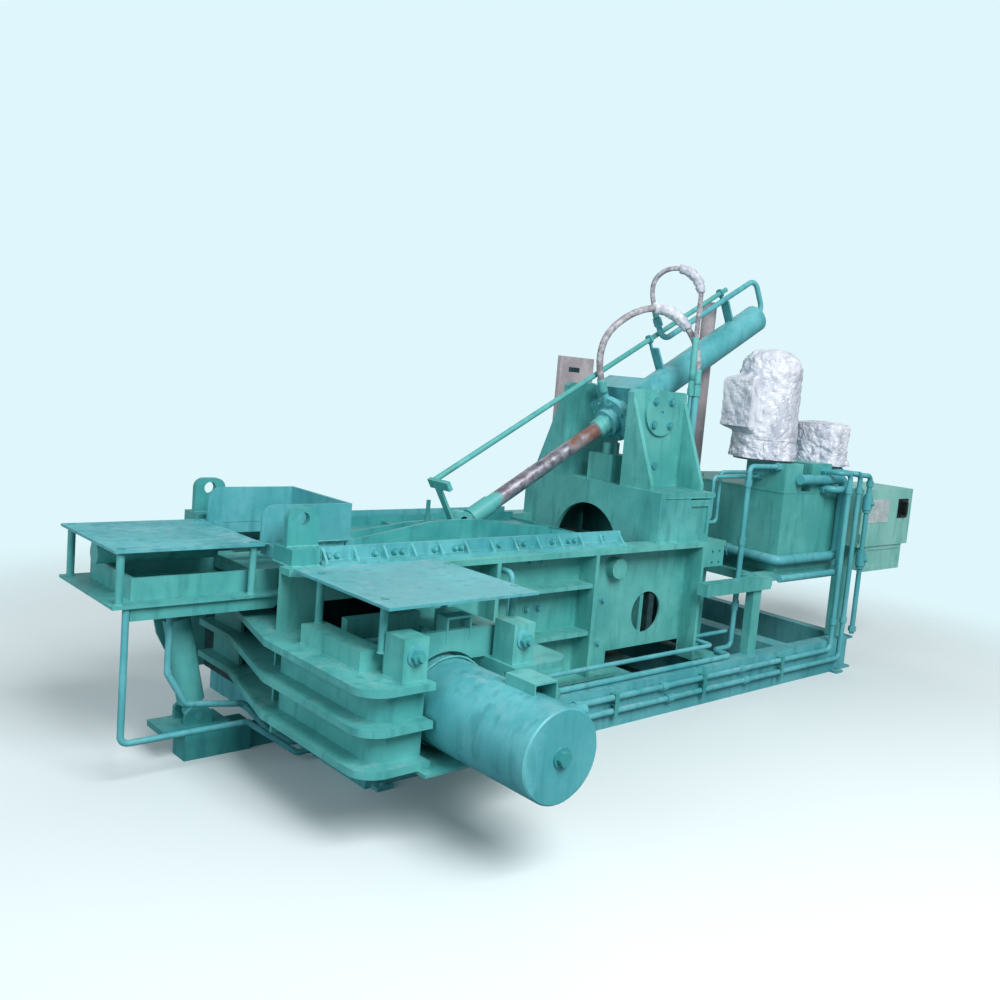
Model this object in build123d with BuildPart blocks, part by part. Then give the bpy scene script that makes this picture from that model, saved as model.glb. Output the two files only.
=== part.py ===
from build123d import *
import math
import os

os.makedirs("parts", exist_ok=True)

# Recycling baler. Millimetres, Z up, X towards the power pack, Y away from the side ram.
# The origin lies on the floor on the machine's centreline, under the side ram's axis.

# Driving sizes
beam_h = 195.0
beam_y = 680.0
beam_left = -60.0
beam_right = 3336.0
plate = 12.0
heavy = 25.0
wall_y = 450.0
wall_in = wall_y - plate
wall_flange_y = 560.0
wall_top = 820.0
wall_left = -330.0
wall_right = 2131.0
stiff_x = (600.0, 1185.0, 1954.0)
floor_t = 25.0
floor_top = beam_h + floor_t
bale_x = 178.0
bale_y = 244.0
bale_top = 677.0
run = 0.05
free = 0.3
loose = 2.0

# Lid linkage
hinge_x = 1400.0
hinge_z = 706.0
hinge_r = 30.0
pin_x = 820.0
pin_z = 866.0
pin_r = 22.0
trunnion_x = 1855.0
trunnion_z = 1457.0
trunnion_r = 40.0
lid_reach = math.hypot(trunnion_x - pin_x, trunnion_z - pin_z)
lid_dir = ((pin_x - trunnion_x) / lid_reach, 0.0, (pin_z - trunnion_z) / lid_reach)
lid_up = (lid_dir[2], 0.0, -lid_dir[0])
lid_axis = Plane(origin=(trunnion_x, 0, trunnion_z), x_dir=(0, 1, 0), z_dir=lid_dir)
lid_bore_r = 64.0
lid_barrel_r = 81.0
lid_rod_r = 39.5
lid_front = 128.0
lid_back = -1220.0
eye_r = 50.0
eye_slot = 24.0

# Side ram
side_z = 445.0
side_r = 153.5
side_bore_r = 125.0
side_rod_r = 70.0
side_end_y = -1650.0
side_flange_y = -740.0
arch_y = -1038.0
arch_r = 172.0
side_face_y = -600.0
side_half = 160.0

# Main ram
main_z = 600.0
main_r = 110.0
main_bore_r = 90.0
main_rod_r = 50.0
ram_face = 945.0
ram_back = 1585.0

# Housing and tower
house_x = 1633.0
house_end = 2060.0
house_mid = (house_x + house_end) / 2
house_y = 512.0
house_top = 1070.0
house_hole_r = 243.0
house_hole_z = 704.0
tower_y = 250.0
tower_t = 40.0
tower_x = 1643.0
tower_top = 1571.0

# Decks
near_deck_z = 830.0
left_deck_z = 873.0
left_deck_y = 282.0
left_deck_x = -847.0

# Gate
gate_bottom = 690.0
gate_top = 745.0
gate_y = 185.0
gate_cyl_z = 812.0
gate_cyl_r = 40.0
gate_bore_r = 31.0
gate_rod_r = 18.0

# Power pack
tank_x = 2592.0
tank_end = 3300.0
tank_near = -570.0
tank_far = 330.0
tank_bottom = 620.0
tank_top = 1077.0

# Fasteners: distance across corners and height of the heads
m24 = 40.0
m24_h = 15.0
m16 = 27.0
m16_h = 10.0
m12 = 21.0
m12_h = 8.0

# Base frame: two long channels with their webs outside, joined by hollow cross-beams and an end channel
flange = 90.0
cross_x = (0.0, 660.0, 1430.0, 2100.0, 2700.0)
cross_w = 120.0
with BuildPart() as base_frame:
    for side in (-1, 1):
        with BuildSketch(Plane.YZ.offset(beam_left)):
            with BuildLine():
                Polyline(
                    (side * beam_y, 0),
                    (side * (beam_y - flange), 0),
                    (side * (beam_y - flange), plate),
                    (side * (beam_y - plate), plate),
                    (side * (beam_y - plate), beam_h - plate),
                    (side * (beam_y - flange), beam_h - plate),
                    (side * (beam_y - flange), beam_h),
                    (side * beam_y, beam_h),
                    close=True,
                )
            make_face()
        extrude(amount=beam_right - beam_left)
    for x in cross_x:
        with BuildSketch(Plane.XZ.offset(-(beam_y - plate))):
            with Locations((x, beam_h / 2)):
                Rectangle(cross_w, beam_h)
                Rectangle(cross_w - 2 * plate, beam_h - 2 * plate, mode=Mode.SUBTRACT)
        extrude(amount=2 * (beam_y - plate))
    with BuildSketch(Plane.XZ.offset(-beam_y)):
        with BuildLine():
            Polyline(
                (beam_right - 78, 0),
                (beam_right, 0),
                (beam_right, plate),
                (beam_right - 66, plate),
                (beam_right - 66, beam_h - plate),
                (beam_right, beam_h - plate),
                (beam_right, beam_h),
                (beam_right - 78, beam_h),
                close=True,
            )
        make_face()
    extrude(amount=2 * beam_y)
    with BuildSketch(Plane.YZ.offset(beam_right - 66)):
        with Locations((-(beam_y - 20), beam_h / 2), (beam_y - 20, beam_h / 2)):
            Rectangle(41, beam_h - 2 * plate)
    extrude(amount=70, mode=Mode.SUBTRACT)
    for y in (-beam_y - 24, beam_y + 24):
        with Locations((0, y, 8), (3150, y, 8)):
            Box(70, 48, 16)
base_frame.part.label = "base_frame"
export_step(base_frame.part, "parts/base_frame.step")

# Near side wall: web, chamfered top flange, stiffeners, hinge boss and the side ram's window
boss_r = 49.0
window_r = 105.0
with BuildPart() as wall_near:
    with BuildSketch(Plane.XZ.offset(wall_in)):
        with BuildLine():
            Polyline(
                (wall_left, beam_h),
                (1405, beam_h),
                (1405, 285),
                (stiff_x[2], 285),
                (stiff_x[2], beam_h),
                (wall_right, beam_h),
                (wall_right, wall_top - heavy),
                (wall_left, wall_top - heavy),
                close=True,
            )
        make_face()
        with Locations((1672, 456)):
            Circle(window_r, mode=Mode.SUBTRACT)
        with Locations((0, (floor_top + bale_top) / 2)):
            Rectangle(2 * side_half + 10, bale_top - floor_top, mode=Mode.SUBTRACT)
    extrude(amount=plate)
    with BuildSketch(Plane.XY.offset(wall_top - heavy)):
        with BuildLine():
            Polyline(
                (wall_left, -wall_in),
                (wall_right, -wall_in),
                (wall_right, -wall_flange_y),
                (wall_left + 70, -wall_flange_y),
                (wall_left, -wall_flange_y + 50),
                close=True,
            )
        make_face()
    extrude(amount=heavy)
    for x in stiff_x:
        with Locations((x, -(wall_y + wall_flange_y) / 2, (beam_h + wall_top - heavy) / 2)):
            Box(20, wall_flange_y - wall_y, wall_top - heavy - beam_h)
    for z in (425, 650):
        with Locations(((stiff_x[0] + stiff_x[1]) / 2, -wall_y - 50, z)):
            Box(stiff_x[1] - stiff_x[0], 100, 20)
    with Locations(((stiff_x[0] + 1405) / 2, -(wall_y + wall_flange_y) / 2, beam_h + 10)):
        Box(1405 - stiff_x[0], wall_flange_y - wall_y, 20)
    with Locations(((stiff_x[2] + wall_right) / 2, -(wall_y + wall_flange_y) / 2, beam_h + 10)):
        Box(wall_right - stiff_x[2], wall_flange_y - wall_y, 20)
    with Locations((stiff_x[2] + 83, -wall_flange_y + 8, 746)):
        Box(165, 16, 116)
    with BuildSketch(Plane.XZ.offset(wall_flange_y - 16)):
        with Locations((stiff_x[2] + 101, 737)):
            with GridLocations(56, 58, 2, 2):
                Circle(8)
    extrude(amount=16, mode=Mode.SUBTRACT)
    with BuildSketch(Plane.XZ.offset(wall_y)):
        with Locations((hinge_x, hinge_z)):
            Circle(boss_r)
    extrude(amount=50)
    with BuildSketch(Plane.XZ.offset(wall_in)):
        with Locations((hinge_x, hinge_z)):
            Circle(hinge_r + run)
    extrude(amount=plate + 40, mode=Mode.SUBTRACT)
wall_near.part.label = "wall_near"
export_step(wall_near.part, "parts/wall_near.step")

with BuildPart() as wall_far:
    add(mirror(wall_near.part, about=Plane.XZ, mode=Mode.PRIVATE))
wall_far.part.label = "wall_far"
export_step(wall_far.part, "parts/wall_far.step")

# Bale chamber: floor, left end wall, far filler wall and the cross-beam between outlet and lid
with BuildPart() as bale_chamber:
    with Locations(((-203 + ram_back + 40) / 2, 0, beam_h + floor_t / 2)):
        Box(ram_back + 40 + 203, 2 * wall_in, floor_t)
    with Locations((-bale_x - heavy / 2, 0, (beam_h + bale_top - 10) / 2)):
        Box(heavy, 2 * wall_in, bale_top - 10 - beam_h)
    with BuildSketch(Plane.XY.offset(floor_top)):
        with BuildLine():
            Polyline(
                (-bale_x, bale_y),
                (bale_x, bale_y),
                (bale_x + 60, wall_in),
                (bale_x + 30, wall_in),
                (bale_x - 10, bale_y + heavy),
                (-bale_x + 25, bale_y + heavy),
                (-bale_x + 25, wall_in),
                (-bale_x, wall_in),
                close=True,
            )
        make_face()
    extrude(amount=bale_top - 10 - floor_top)
    with Locations((72, 0, (692 + wall_top) / 2)):
        Box(50, 2 * wall_in, wall_top - 692)
    with Locations((72, 0, (692 + wall_top) / 2)):
        Box(30, 2 * wall_in - 40, wall_top - 712, mode=Mode.SUBTRACT)
bale_chamber.part.label = "bale_chamber"
export_step(bale_chamber.part, "parts/bale_chamber.step")

# Shear strips on the wall flanges, each with a row of gussets
strip_left = -183.0
strip_right = 1431.0
strip_top = 883.0
far_strip_top = 862.0
gussets = 13
gusset_gap = (strip_right - strip_left - 30) / (gussets - 1)
with BuildPart() as shear_strips:
    for side, top in ((-1, strip_top), (1, far_strip_top)):
        with Locations(((strip_left + strip_right) / 2, side * (wall_in + 6), (wall_top + top) / 2)):
            Box(strip_right - strip_left, 12, top - wall_top)
        with Locations(((strip_left + strip_right) / 2, side * (wall_in + 35), wall_top + 5)):
            Box(strip_right - strip_left, 58, 10)
        for i in range(gussets):
            with BuildSketch(Plane.YZ.offset(strip_left + 10 + i * gusset_gap)):
                with BuildLine():
                    Polyline(
                        (side * (wall_in + 12), wall_top + 10),
                        (side * (wall_in + 56), wall_top + 10),
                        (side * (wall_in + 12), top - 4),
                        close=True,
                    )
                make_face()
            extrude(amount=10)
shear_strips.part.label = "shear_strips"
export_step(shear_strips.part, "parts/shear_strips.step")

# Ram housing: front wall with the round opening, top plate, inner cheeks and rear wall
with BuildPart() as ram_housing:
    with BuildSketch(Plane.YZ.offset(house_x)):
        with Locations((0, (wall_top + house_top - heavy) / 2)):
            Rectangle(2 * house_y, house_top - heavy - wall_top)
        with Locations((0, (floor_top + 70 + wall_top) / 2)):
            Rectangle(2 * wall_in - 1, wall_top - floor_top - 70)
        with Locations((0, house_hole_z)):
            Circle(house_hole_r, mode=Mode.SUBTRACT)
    extrude(amount=heavy)
    with Locations(((house_x + house_end) / 2, 0, house_top - heavy / 2)):
        Box(house_end - house_x, 2 * house_y, heavy)
    with BuildSketch(Plane.YZ.offset(house_end - heavy)):
        with Locations((0, (wall_top + house_top - heavy) / 2)):
            Rectangle(2 * house_y - 100, house_top - heavy - wall_top)
        with Locations((0, wall_top)):
            Circle(190, mode=Mode.SUBTRACT)
    extrude(amount=heavy)
    for side in (-1, 1):
        with Locations((house_mid, side * (wall_in - 20), (wall_top + house_top - heavy) / 2)):
            Box(house_end - house_x, 20, house_top - heavy - wall_top)
ram_housing.part.label = "ram_housing"
export_step(ram_housing.part, "parts/ram_housing.step")

# Blocks bolted to the housing's sides, each with a bracket box behind it
with BuildPart() as housing_blocks:
    for side in (-1, 1):
        with Locations((1757, side * (house_y - 37), (wall_top + house_top - heavy) / 2)):
            Box(198, 74, house_top - heavy - wall_top)
        with Locations((1944, side * (house_y - 27), (wall_top + 1035) / 2)):
            Box(176, 50, 1035 - wall_top)
        with Locations((1944, side * (house_y - 7), (wall_top + 1035) / 2)):
            Box(136, 12, 1035 - wall_top - 70, mode=Mode.SUBTRACT)
housing_blocks.part.label = "housing_blocks"
export_step(housing_blocks.part, "parts/housing_blocks.step")

# Near tower plate with its two outer gussets and the trunnion bore
with BuildPart() as tower_near:
    with BuildSketch(Plane.XZ.offset(tower_y - tower_t)):
        with BuildLine():
            Polyline(
                (tower_x, house_top),
                (house_end, house_top),
                (house_end, tower_top - 18),
                (house_end - 18, tower_top),
                (tower_x + 18, tower_top),
                (tower_x, tower_top - 18),
                close=True,
            )
        make_face()
        with Locations((trunnion_x, trunnion_z)):
            Circle(trunnion_r + run, mode=Mode.SUBTRACT)
    extrude(amount=tower_t)
    for x in (tower_x, house_end - heavy):
        with BuildSketch(Plane.YZ.offset(x)):
            with BuildLine():
                Polyline(
                    (-tower_y, house_top),
                    (-tower_y - 175, house_top),
                    (-tower_y - 175, house_top + 30),
                    (-tower_y, tower_top - 50),
                    close=True,
                )
            make_face()
        extrude(amount=heavy)
tower_near.part.label = "tower_near"
export_step(tower_near.part, "parts/tower_near.step")

far_shift = 25.0
with BuildPart() as tower_far:
    add(mirror(tower_near.part, about=Plane.XZ, mode=Mode.PRIVATE).moved(Location((0, far_shift, 0))))
tower_far.part.label = "tower_far"
export_step(tower_far.part, "parts/tower_far.step")

# Round covers over the trunnions
cover_r = 120.0
cover_t = 16.0
with BuildPart() as trunnion_covers:
    for y, out in ((tower_y, 1), (-tower_y - far_shift, -1)):
        with BuildSketch(Plane.XZ.offset(y)):
            with Locations((trunnion_x, trunnion_z)):
                Circle(cover_r)
        extrude(amount=out * cover_t)
        with BuildSketch(Plane.XZ.offset(y + out * cover_t)):
            with Locations((trunnion_x, trunnion_z)):
                Circle(11)
        extrude(amount=-out * 8, mode=Mode.SUBTRACT)
trunnion_covers.part.label = "trunnion_covers"
export_step(trunnion_covers.part, "parts/trunnion_covers.step")

# Left half of the side ram's frame: three level rib plates and the upright webs between them
rib_z = (291.0, 426.0, 555.0)
rib_near = -1210.0
rib_left = -418.0
with BuildPart() as ram_frame_left:
    for z in rib_z:
        with BuildSketch(Plane.XY.offset(z)):
            with BuildLine():
                Polyline(
                    (-165, rib_near),
                    (rib_left, rib_near),
                    (rib_left, -530),
                    (-300, 0),
                    (-300, 280),
                    (-203, 280),
                    (-203, -wall_in + 1),
                    (wall_left - 1, -wall_in + 1),
                    (wall_left - 1, -wall_y - 1),
                    (-165, -wall_y - 1),
                    close=True,
                )
            rib_face = make_face()
            corner = rib_face.vertices().group_by(Axis.Y)[0].sort_by(Axis.X)[0]
            fillet(corner, 95)
        extrude(amount=heavy)
    with Locations((-175, (rib_near + 60 - wall_y - 1) / 2, (rib_z[0] + rib_z[2]) / 2)):
        Box(20, -wall_y - 1 - rib_near - 60, rib_z[2] - rib_z[0])
    with BuildSketch(Plane.XY.offset(rib_z[0])):
        with BuildLine():
            Polyline(
                (-180, rib_near + 60),
                (-300, rib_near + 60),
                (-345, rib_near + 110),
                (-345, -520),
                (-325, -520),
                (-325, rib_near + 118),
                (-292, rib_near + 80),
                (-180, rib_near + 80),
                close=True,
            )
        make_face()
    extrude(amount=rib_z[2] - rib_z[0])
    with Locations((-240, 130, (rib_z[0] + rib_z[2]) / 2)):
        Box(16, 240, rib_z[2] - rib_z[0])
ram_frame_left.part.label = "ram_frame_left"
export_step(ram_frame_left.part, "parts/ram_frame_left.step")

# Right half of the same frame, stopping at the near wall
with BuildPart() as ram_frame_right:
    for z in rib_z:
        with BuildSketch(Plane.XY.offset(z)):
            with BuildLine():
                Polyline(
                    (165, rib_near),
                    (450, rib_near),
                    (450, -800),
                    (420, -wall_y - 1),
                    (165, -wall_y - 1),
                    close=True,
                )
            rib_face = make_face()
            corner = rib_face.vertices().group_by(Axis.Y)[0].sort_by(Axis.X)[-1]
            fillet(corner, 95)
        extrude(amount=heavy)
    with Locations((175, (rib_near + 60 - wall_y - 1) / 2, (rib_z[0] + rib_z[2]) / 2)):
        Box(20, -wall_y - 1 - rib_near - 60, rib_z[2] - rib_z[0])
    with BuildSketch(Plane.XY.offset(rib_z[0])):
        with BuildLine():
            Polyline(
                (180, rib_near + 60),
                (330, rib_near + 60),
                (375, rib_near + 110),
                (375, -520),
                (355, -520),
                (355, rib_near + 118),
                (322, rib_near + 80),
                (180, rib_near + 80),
                close=True,
            )
        make_face()
    extrude(amount=rib_z[2] - rib_z[0])
ram_frame_right.part.label = "ram_frame_right"
export_step(ram_frame_right.part, "parts/ram_frame_right.step")

# Clamp blocks on the near corners and the bars on the top ribs that carry the deck posts
rib_top = rib_z[2] + heavy
with BuildPart() as clamp_blocks:
    for side in (-1, 1):
        with Locations((side * 227, -1120, (rib_top + 725) / 2)):
            Box(95, 110, 725 - rib_top)
        with Locations((side * 285, -815, rib_top + 35)):
            Box(90, 390, 70)
clamp_blocks.part.label = "clamp_blocks"
export_step(clamp_blocks.part, "parts/clamp_blocks.step")

# Hexagon heads fixed to the frame: covers, strips, side plates and housing blocks
cover_bolt_r = 88.0
strip_heads = (
    (0, (18, 56)),
    (1, (87,)),
    (2, (45, 81)),
    (3, (105,)),
    (4, (75, 105)),
    (6, (47,)),
    (7, (19, 54)),
    (8, (92,)),
    (9, (60, 98)),
    (11, (21,)),
)
with BuildPart() as frame_bolts:
    for y, out in ((tower_y + cover_t, 1), (-tower_y - far_shift - cover_t, -1)):
        with BuildSketch(Plane.XZ.offset(y)):
            with Locations((trunnion_x, trunnion_z)):
                with PolarLocations(cover_bolt_r, 4, 45):
                    RegularPolygon(m24 / 2, 6)
        extrude(amount=out * m24_h)
    for out, z in ((1, wall_top + 32), (-1, wall_top + 26)):
        with BuildSketch(Plane.XZ.offset(out * wall_y)):
            for bay, spots in strip_heads:
                for spot in spots:
                    with Locations((strip_left + 20 + bay * gusset_gap + spot, z)):
                        RegularPolygon(m16 / 2, 6)
        extrude(amount=out * m16_h)
    with BuildSketch(Plane.XZ.offset(wall_y)):
        for x in (stiff_x[0] + 263, stiff_x[0] + 333):
            with Locations((x, 766), (x, 547)):
                RegularPolygon(m16 / 2, 6)
        with Locations((stiff_x[1] + 163, 546), (stiff_x[1] + 157, 333)):
            RegularPolygon(m16 / 2, 6)
    extrude(amount=m16_h)
    with BuildSketch(Plane.XZ.offset(tower_y)):
        with Locations((trunnion_x - 7, house_top + 109)):
            RegularPolygon(m24 / 2, 6)
    extrude(amount=m16_h)
    with BuildSketch(Plane.XY.offset(16)):
        with Locations((0, -beam_y - 26), (0, beam_y + 26), (3150, -beam_y - 26), (3150, beam_y + 26)):
            RegularPolygon(m16 / 2, 6)
    extrude(amount=m16_h)
    with BuildSketch(Plane.XZ.offset(1175)):
        with Locations((-227, 668), (227, 668)):
            Circle(28)
    extrude(amount=5)
    with BuildSketch(Plane.XZ.offset(1180)):
        with Locations((-227, 668), (227, 668)):
            RegularPolygon(24, 6)
    extrude(amount=20)
    with BuildSketch(Plane.XZ.offset(1200)):
        with Locations((-227, 668), (227, 668)):
            Circle(12)
    extrude(amount=16)
frame_bolts.part.label = "frame_bolts"
export_step(frame_bolts.part, "parts/frame_bolts.step")

# Arch plate across the ram frame, with a small shelf under the side cylinder
with BuildPart() as arch_plate:
    with BuildSketch(Plane.XZ.offset(-arch_y - heavy)):
        with BuildLine():
            Polyline(
                (-245, rib_top),
                (245, rib_top),
                (245, 676),
                (231, 690),
                (-231, 690),
                (-245, 676),
                close=True,
            )
        make_face()
        with Locations((0, side_z)):
            Circle(arch_r, mode=Mode.SUBTRACT)
    extrude(amount=heavy)
    with Locations((92, -1010, 692)):
        Box(8, 60, 48 * 2 - 4)
    with Locations((-8, -1010, 692)):
        Box(8, 60, 48 * 2 - 4)
    with Locations((42, -1010, 734)):
        Box(108, 60, 8)
    with Locations((0, -1100, rib_z[0] - 6)):
        Box(420, 300, 12)
arch_plate.part.label = "arch_plate"
export_step(arch_plate.part, "parts/arch_plate.step")

# Side cylinder: thick tube with a plain end, square flange and gland at the inner end
with BuildPart() as side_cylinder:
    with BuildSketch(Plane.XZ.offset(-side_flange_y)):
        with Locations((0, side_z)):
            Circle(side_r)
    extrude(amount=-side_end_y + side_flange_y)
    with BuildSketch(Plane.XZ.offset(-side_flange_y - 40)):
        with Locations((0, side_z)):
            Rectangle(326, 290)
    extrude(amount=40)
    with BuildSketch(Plane.XZ.offset(-side_flange_y - 10)):
        with Locations((0, side_z)):
            Circle(side_bore_r)
    extrude(amount=-side_end_y + side_flange_y - 30, mode=Mode.SUBTRACT)
    with BuildSketch(Plane.XZ.offset(-side_flange_y - 40)):
        with Locations((0, side_z)):
            Circle(side_rod_r + run)
    extrude(amount=40, mode=Mode.SUBTRACT)
    rim = side_cylinder.edges().filter_by(GeomType.CIRCLE).group_by(Axis.Y)[0].sort_by(SortBy.RADIUS)[-1]
    chamfer(rim, 5)
    with BuildSketch(Plane.YZ.offset(100)):
        with Locations((-1560, side_z + 95)):
            Circle(20)
    extrude(amount=70)
    with BuildSketch(Plane.YZ.offset(100)):
        with Locations((-800, side_z + 80)):
            Circle(12)
    extrude(amount=62)
    with BuildSketch(Plane.XZ.offset(-side_flange_y + 50)):
        with Locations((0, side_z)):
            Circle(side_bore_r)
    extrude(amount=-side_end_y + side_flange_y - 90, mode=Mode.SUBTRACT)
side_cylinder.part.label = "side_cylinder"
export_step(side_cylinder.part, "parts/side_cylinder.step")

with BuildPart() as side_plug:
    with BuildSketch(Plane.XZ.offset(-side_end_y)):
        with Locations((0, side_z)):
            Circle(34)
    extrude(amount=6)
    with BuildSketch(Plane.XZ.offset(-side_end_y + 6)):
        with Locations((0, side_z)):
            RegularPolygon(25, 6)
    extrude(amount=18)
side_plug.part.label = "side_plug"
export_step(side_plug.part, "parts/side_plug.step")

# Side ram: piston and rod, and the platen at its end
with BuildPart() as side_rod:
    with BuildSketch(Plane.XZ.offset(-side_flange_y + 400)):
        with Locations((0, side_z)):
            Circle(side_bore_r - run)
    extrude(amount=60)
    with BuildSketch(Plane.XZ.offset(-side_face_y + 60)):
        with Locations((0, side_z)):
            Circle(side_rod_r)
    extrude(amount=-side_flange_y + 400 + side_face_y - 60)
side_rod.part.label = "side_rod"
export_step(side_rod.part, "parts/side_rod.step")

with BuildPart() as side_ram:
    with Locations((0, side_face_y - 20, (floor_top + 5 + bale_top - 25) / 2)):
        Box(2 * side_half - 2 * loose, 40, bale_top - 30 - floor_top)
    with Locations((0, side_face_y - 50, side_z)):
        Box(240, 20, 240)
side_ram.part.label = "side_ram"
export_step(side_ram.part, "parts/side_ram.step")

# Channel-shaped sheet guard welded on top of the side cylinder
guard_x = 41.0
guard_w = 98.0
guard_top = side_z + side_r + 36.5
with BuildPart() as cylinder_guard:
    with BuildSketch(Plane.XZ.offset(1364)):
        with Locations((guard_x, guard_top - 40)):
            Rectangle(guard_w, 80)
        with Locations((guard_x, guard_top - 44)):
            Rectangle(guard_w - 12, 76, mode=Mode.SUBTRACT)
        with Locations((0, side_z)):
            Circle(side_r + free, mode=Mode.SUBTRACT)
    extrude(amount=146)
cylinder_guard.part.label = "cylinder_guard"
export_step(cylinder_guard.part, "parts/cylinder_guard.step")

# Deck over the side ram and the posts of both decks
with BuildPart() as near_deck:
    with BuildSketch(Plane.XY.offset(near_deck_z - 10)):
        with Locations((-20, -850)):
            Rectangle(622, 620)
    extrude(amount=10)
near_deck.part.label = "near_deck"
export_step(near_deck.part, "parts/near_deck.step")

post_r = 13.5
with BuildPart() as deck_posts:
    with BuildSketch(Plane.XY.offset(rib_top + 70)):
        with Locations((-272, -1045), (272, -1045), (-272, -635), (272, -635)):
            Circle(post_r)
    extrude(amount=near_deck_z - 10 - rib_top - 70)
    with BuildSketch(Plane.XY.offset(bale_top)):
        with Locations((left_deck_x + 30, 0), (-342, 0)):
            with Locations((0, left_deck_y - 30), (0, -left_deck_y + 30)):
                Circle(post_r)
    extrude(amount=left_deck_z - 10 - bale_top)
deck_posts.part.label = "deck_posts"
export_step(deck_posts.part, "parts/deck_posts.step")

with BuildPart() as left_deck:
    with BuildSketch(Plane.XY.offset(left_deck_z - 10)):
        with Locations(((left_deck_x - 312) / 2, 0)):
            Rectangle(-312 - left_deck_x, 2 * left_deck_y)
    extrude(amount=10)
left_deck.part.label = "left_deck"
export_step(left_deck.part, "parts/left_deck.step")

# Gate housing: lower plate, channel skirts below it, trough walls above it
with BuildPart() as gate_housing:
    with BuildSketch(Plane.XY.offset(bale_top - 10)):
        with Locations(((left_deck_x - bale_x - heavy) / 2, 0)):
            Rectangle(-bale_x - heavy - left_deck_x, 2 * left_deck_y)
    extrude(amount=10)
    for side in (-1, 1):
        with BuildSketch(Plane.XZ.offset(-side * (left_deck_y - 20))):
            with BuildLine():
                Polyline(
                    (-781, bale_top - 10),
                    (-781, 617),
                    (-254, 617),
                    (-206, 660),
                    (-206, bale_top - 10),
                    close=True,
                )
            make_face()
        extrude(amount=side * plate)
        with Locations((-487, side * 200, 717)):
            Box(550, 12, 80)
    with Locations((-756, 0, 717)):
        Box(12, 388, 80)
    for side in (-1, 1):
        with Locations((-640, side * 120, 627)):
            Box(60, 16, 80)
        with BuildSketch(Plane.XZ.offset(-side * 120 - 8)):
            with Locations((-640, 600)):
                Circle(12 + run, mode=Mode.ADD)
        extrude(amount=16, mode=Mode.SUBTRACT)
    with BuildSketch(Plane.XZ.offset(-60)):
        with BuildLine():
            Polyline(
                (-590, 610),
                (-590, 660),
                (-500, 660),
                (-500, 420),
                (-525, 400),
                (-560, 470),
                close=True,
            )
        make_face()
    extrude(amount=-12)
    with Locations((-545, 66, 659)):
        Box(90, 12, 18)
gate_housing.part.label = "gate_housing"
export_step(gate_housing.part, "parts/gate_housing.step")

# Gate slab with the lug that its cylinder pulls on
with BuildPart() as gate_slab:
    with Locations((-125, 0, (gate_bottom + gate_top) / 2)):
        Box(330, 2 * gate_y, gate_top - gate_bottom)
    with Locations((26, 0, (gate_top + gate_cyl_z + 25) / 2)):
        Box(28, 60, gate_cyl_z + 25 - gate_top)
gate_slab.part.label = "gate_slab"
export_step(gate_slab.part, "parts/gate_slab.step")

with BuildPart() as gate_barrel:
    with BuildSketch(Plane.YZ.offset(-820)):
        with Locations((0, gate_cyl_z)):
            Circle(gate_cyl_r)
    extrude(amount=440)
    with Locations((-800, 0, (gate_cyl_z + left_deck_z - 10) / 2)):
        Box(40, 60, left_deck_z - 10 - gate_cyl_z)
    with Locations((-400, 0, (gate_cyl_z + left_deck_z - 10) / 2)):
        Box(40, 60, left_deck_z - 10 - gate_cyl_z)
    with BuildSketch(Plane.YZ.offset(-800)):
        with Locations((0, gate_cyl_z)):
            Circle(gate_bore_r)
    extrude(amount=385, mode=Mode.SUBTRACT)
    with BuildSketch(Plane.YZ.offset(-420)):
        with Locations((0, gate_cyl_z)):
            Circle(gate_rod_r + run)
    extrude(amount=60, mode=Mode.SUBTRACT)
gate_barrel.part.label = "gate_barrel"
export_step(gate_barrel.part, "parts/gate_barrel.step")

with BuildPart() as gate_rod:
    with BuildSketch(Plane.YZ.offset(-450)):
        with Locations((0, gate_cyl_z)):
            Circle(gate_bore_r - run)
    extrude(amount=30)
    with BuildSketch(Plane.YZ.offset(-420)):
        with Locations((0, gate_cyl_z)):
            Circle(gate_rod_r)
    extrude(amount=12 + 420)
gate_rod.part.label = "gate_rod"
export_step(gate_rod.part, "parts/gate_rod.step")

# Outlet guide: two side plates and a cross plate on cross bars
with BuildPart() as outlet_guide:
    for side in (-1, 1):
        with BuildSketch(Plane.XZ.offset(-side * bale_y)):
            with BuildLine():
                Polyline((57, 865), (57, 1012), (-310, 1012), (-310, 865), close=True)
            guide_face = make_face()
            fillet(guide_face.vertices().group_by(Axis.Y)[-1].sort_by(Axis.X)[0], 55)
        extrude(amount=side * plate)
    with Locations((57 + plate / 2, 0, (865 + 1012) / 2)):
        Box(plate, 2 * bale_y, 147)
    with Locations((72, 0, 842.5)):
        Box(42, 2 * bale_y, 45)
    for side in (-1, 1):
        with Locations((-268, side * (bale_y - 45 + 335) / 2, 842.5)):
            Box(40, 335 - bale_y + 45, 45)
    for side in (-1, 1):
        with Locations((-106, side * (bale_y - plate / 2), 842.5)):
            Box(300, 8, 45)
outlet_guide.part.label = "outlet_guide"
export_step(outlet_guide.part, "parts/outlet_guide.step")

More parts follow.
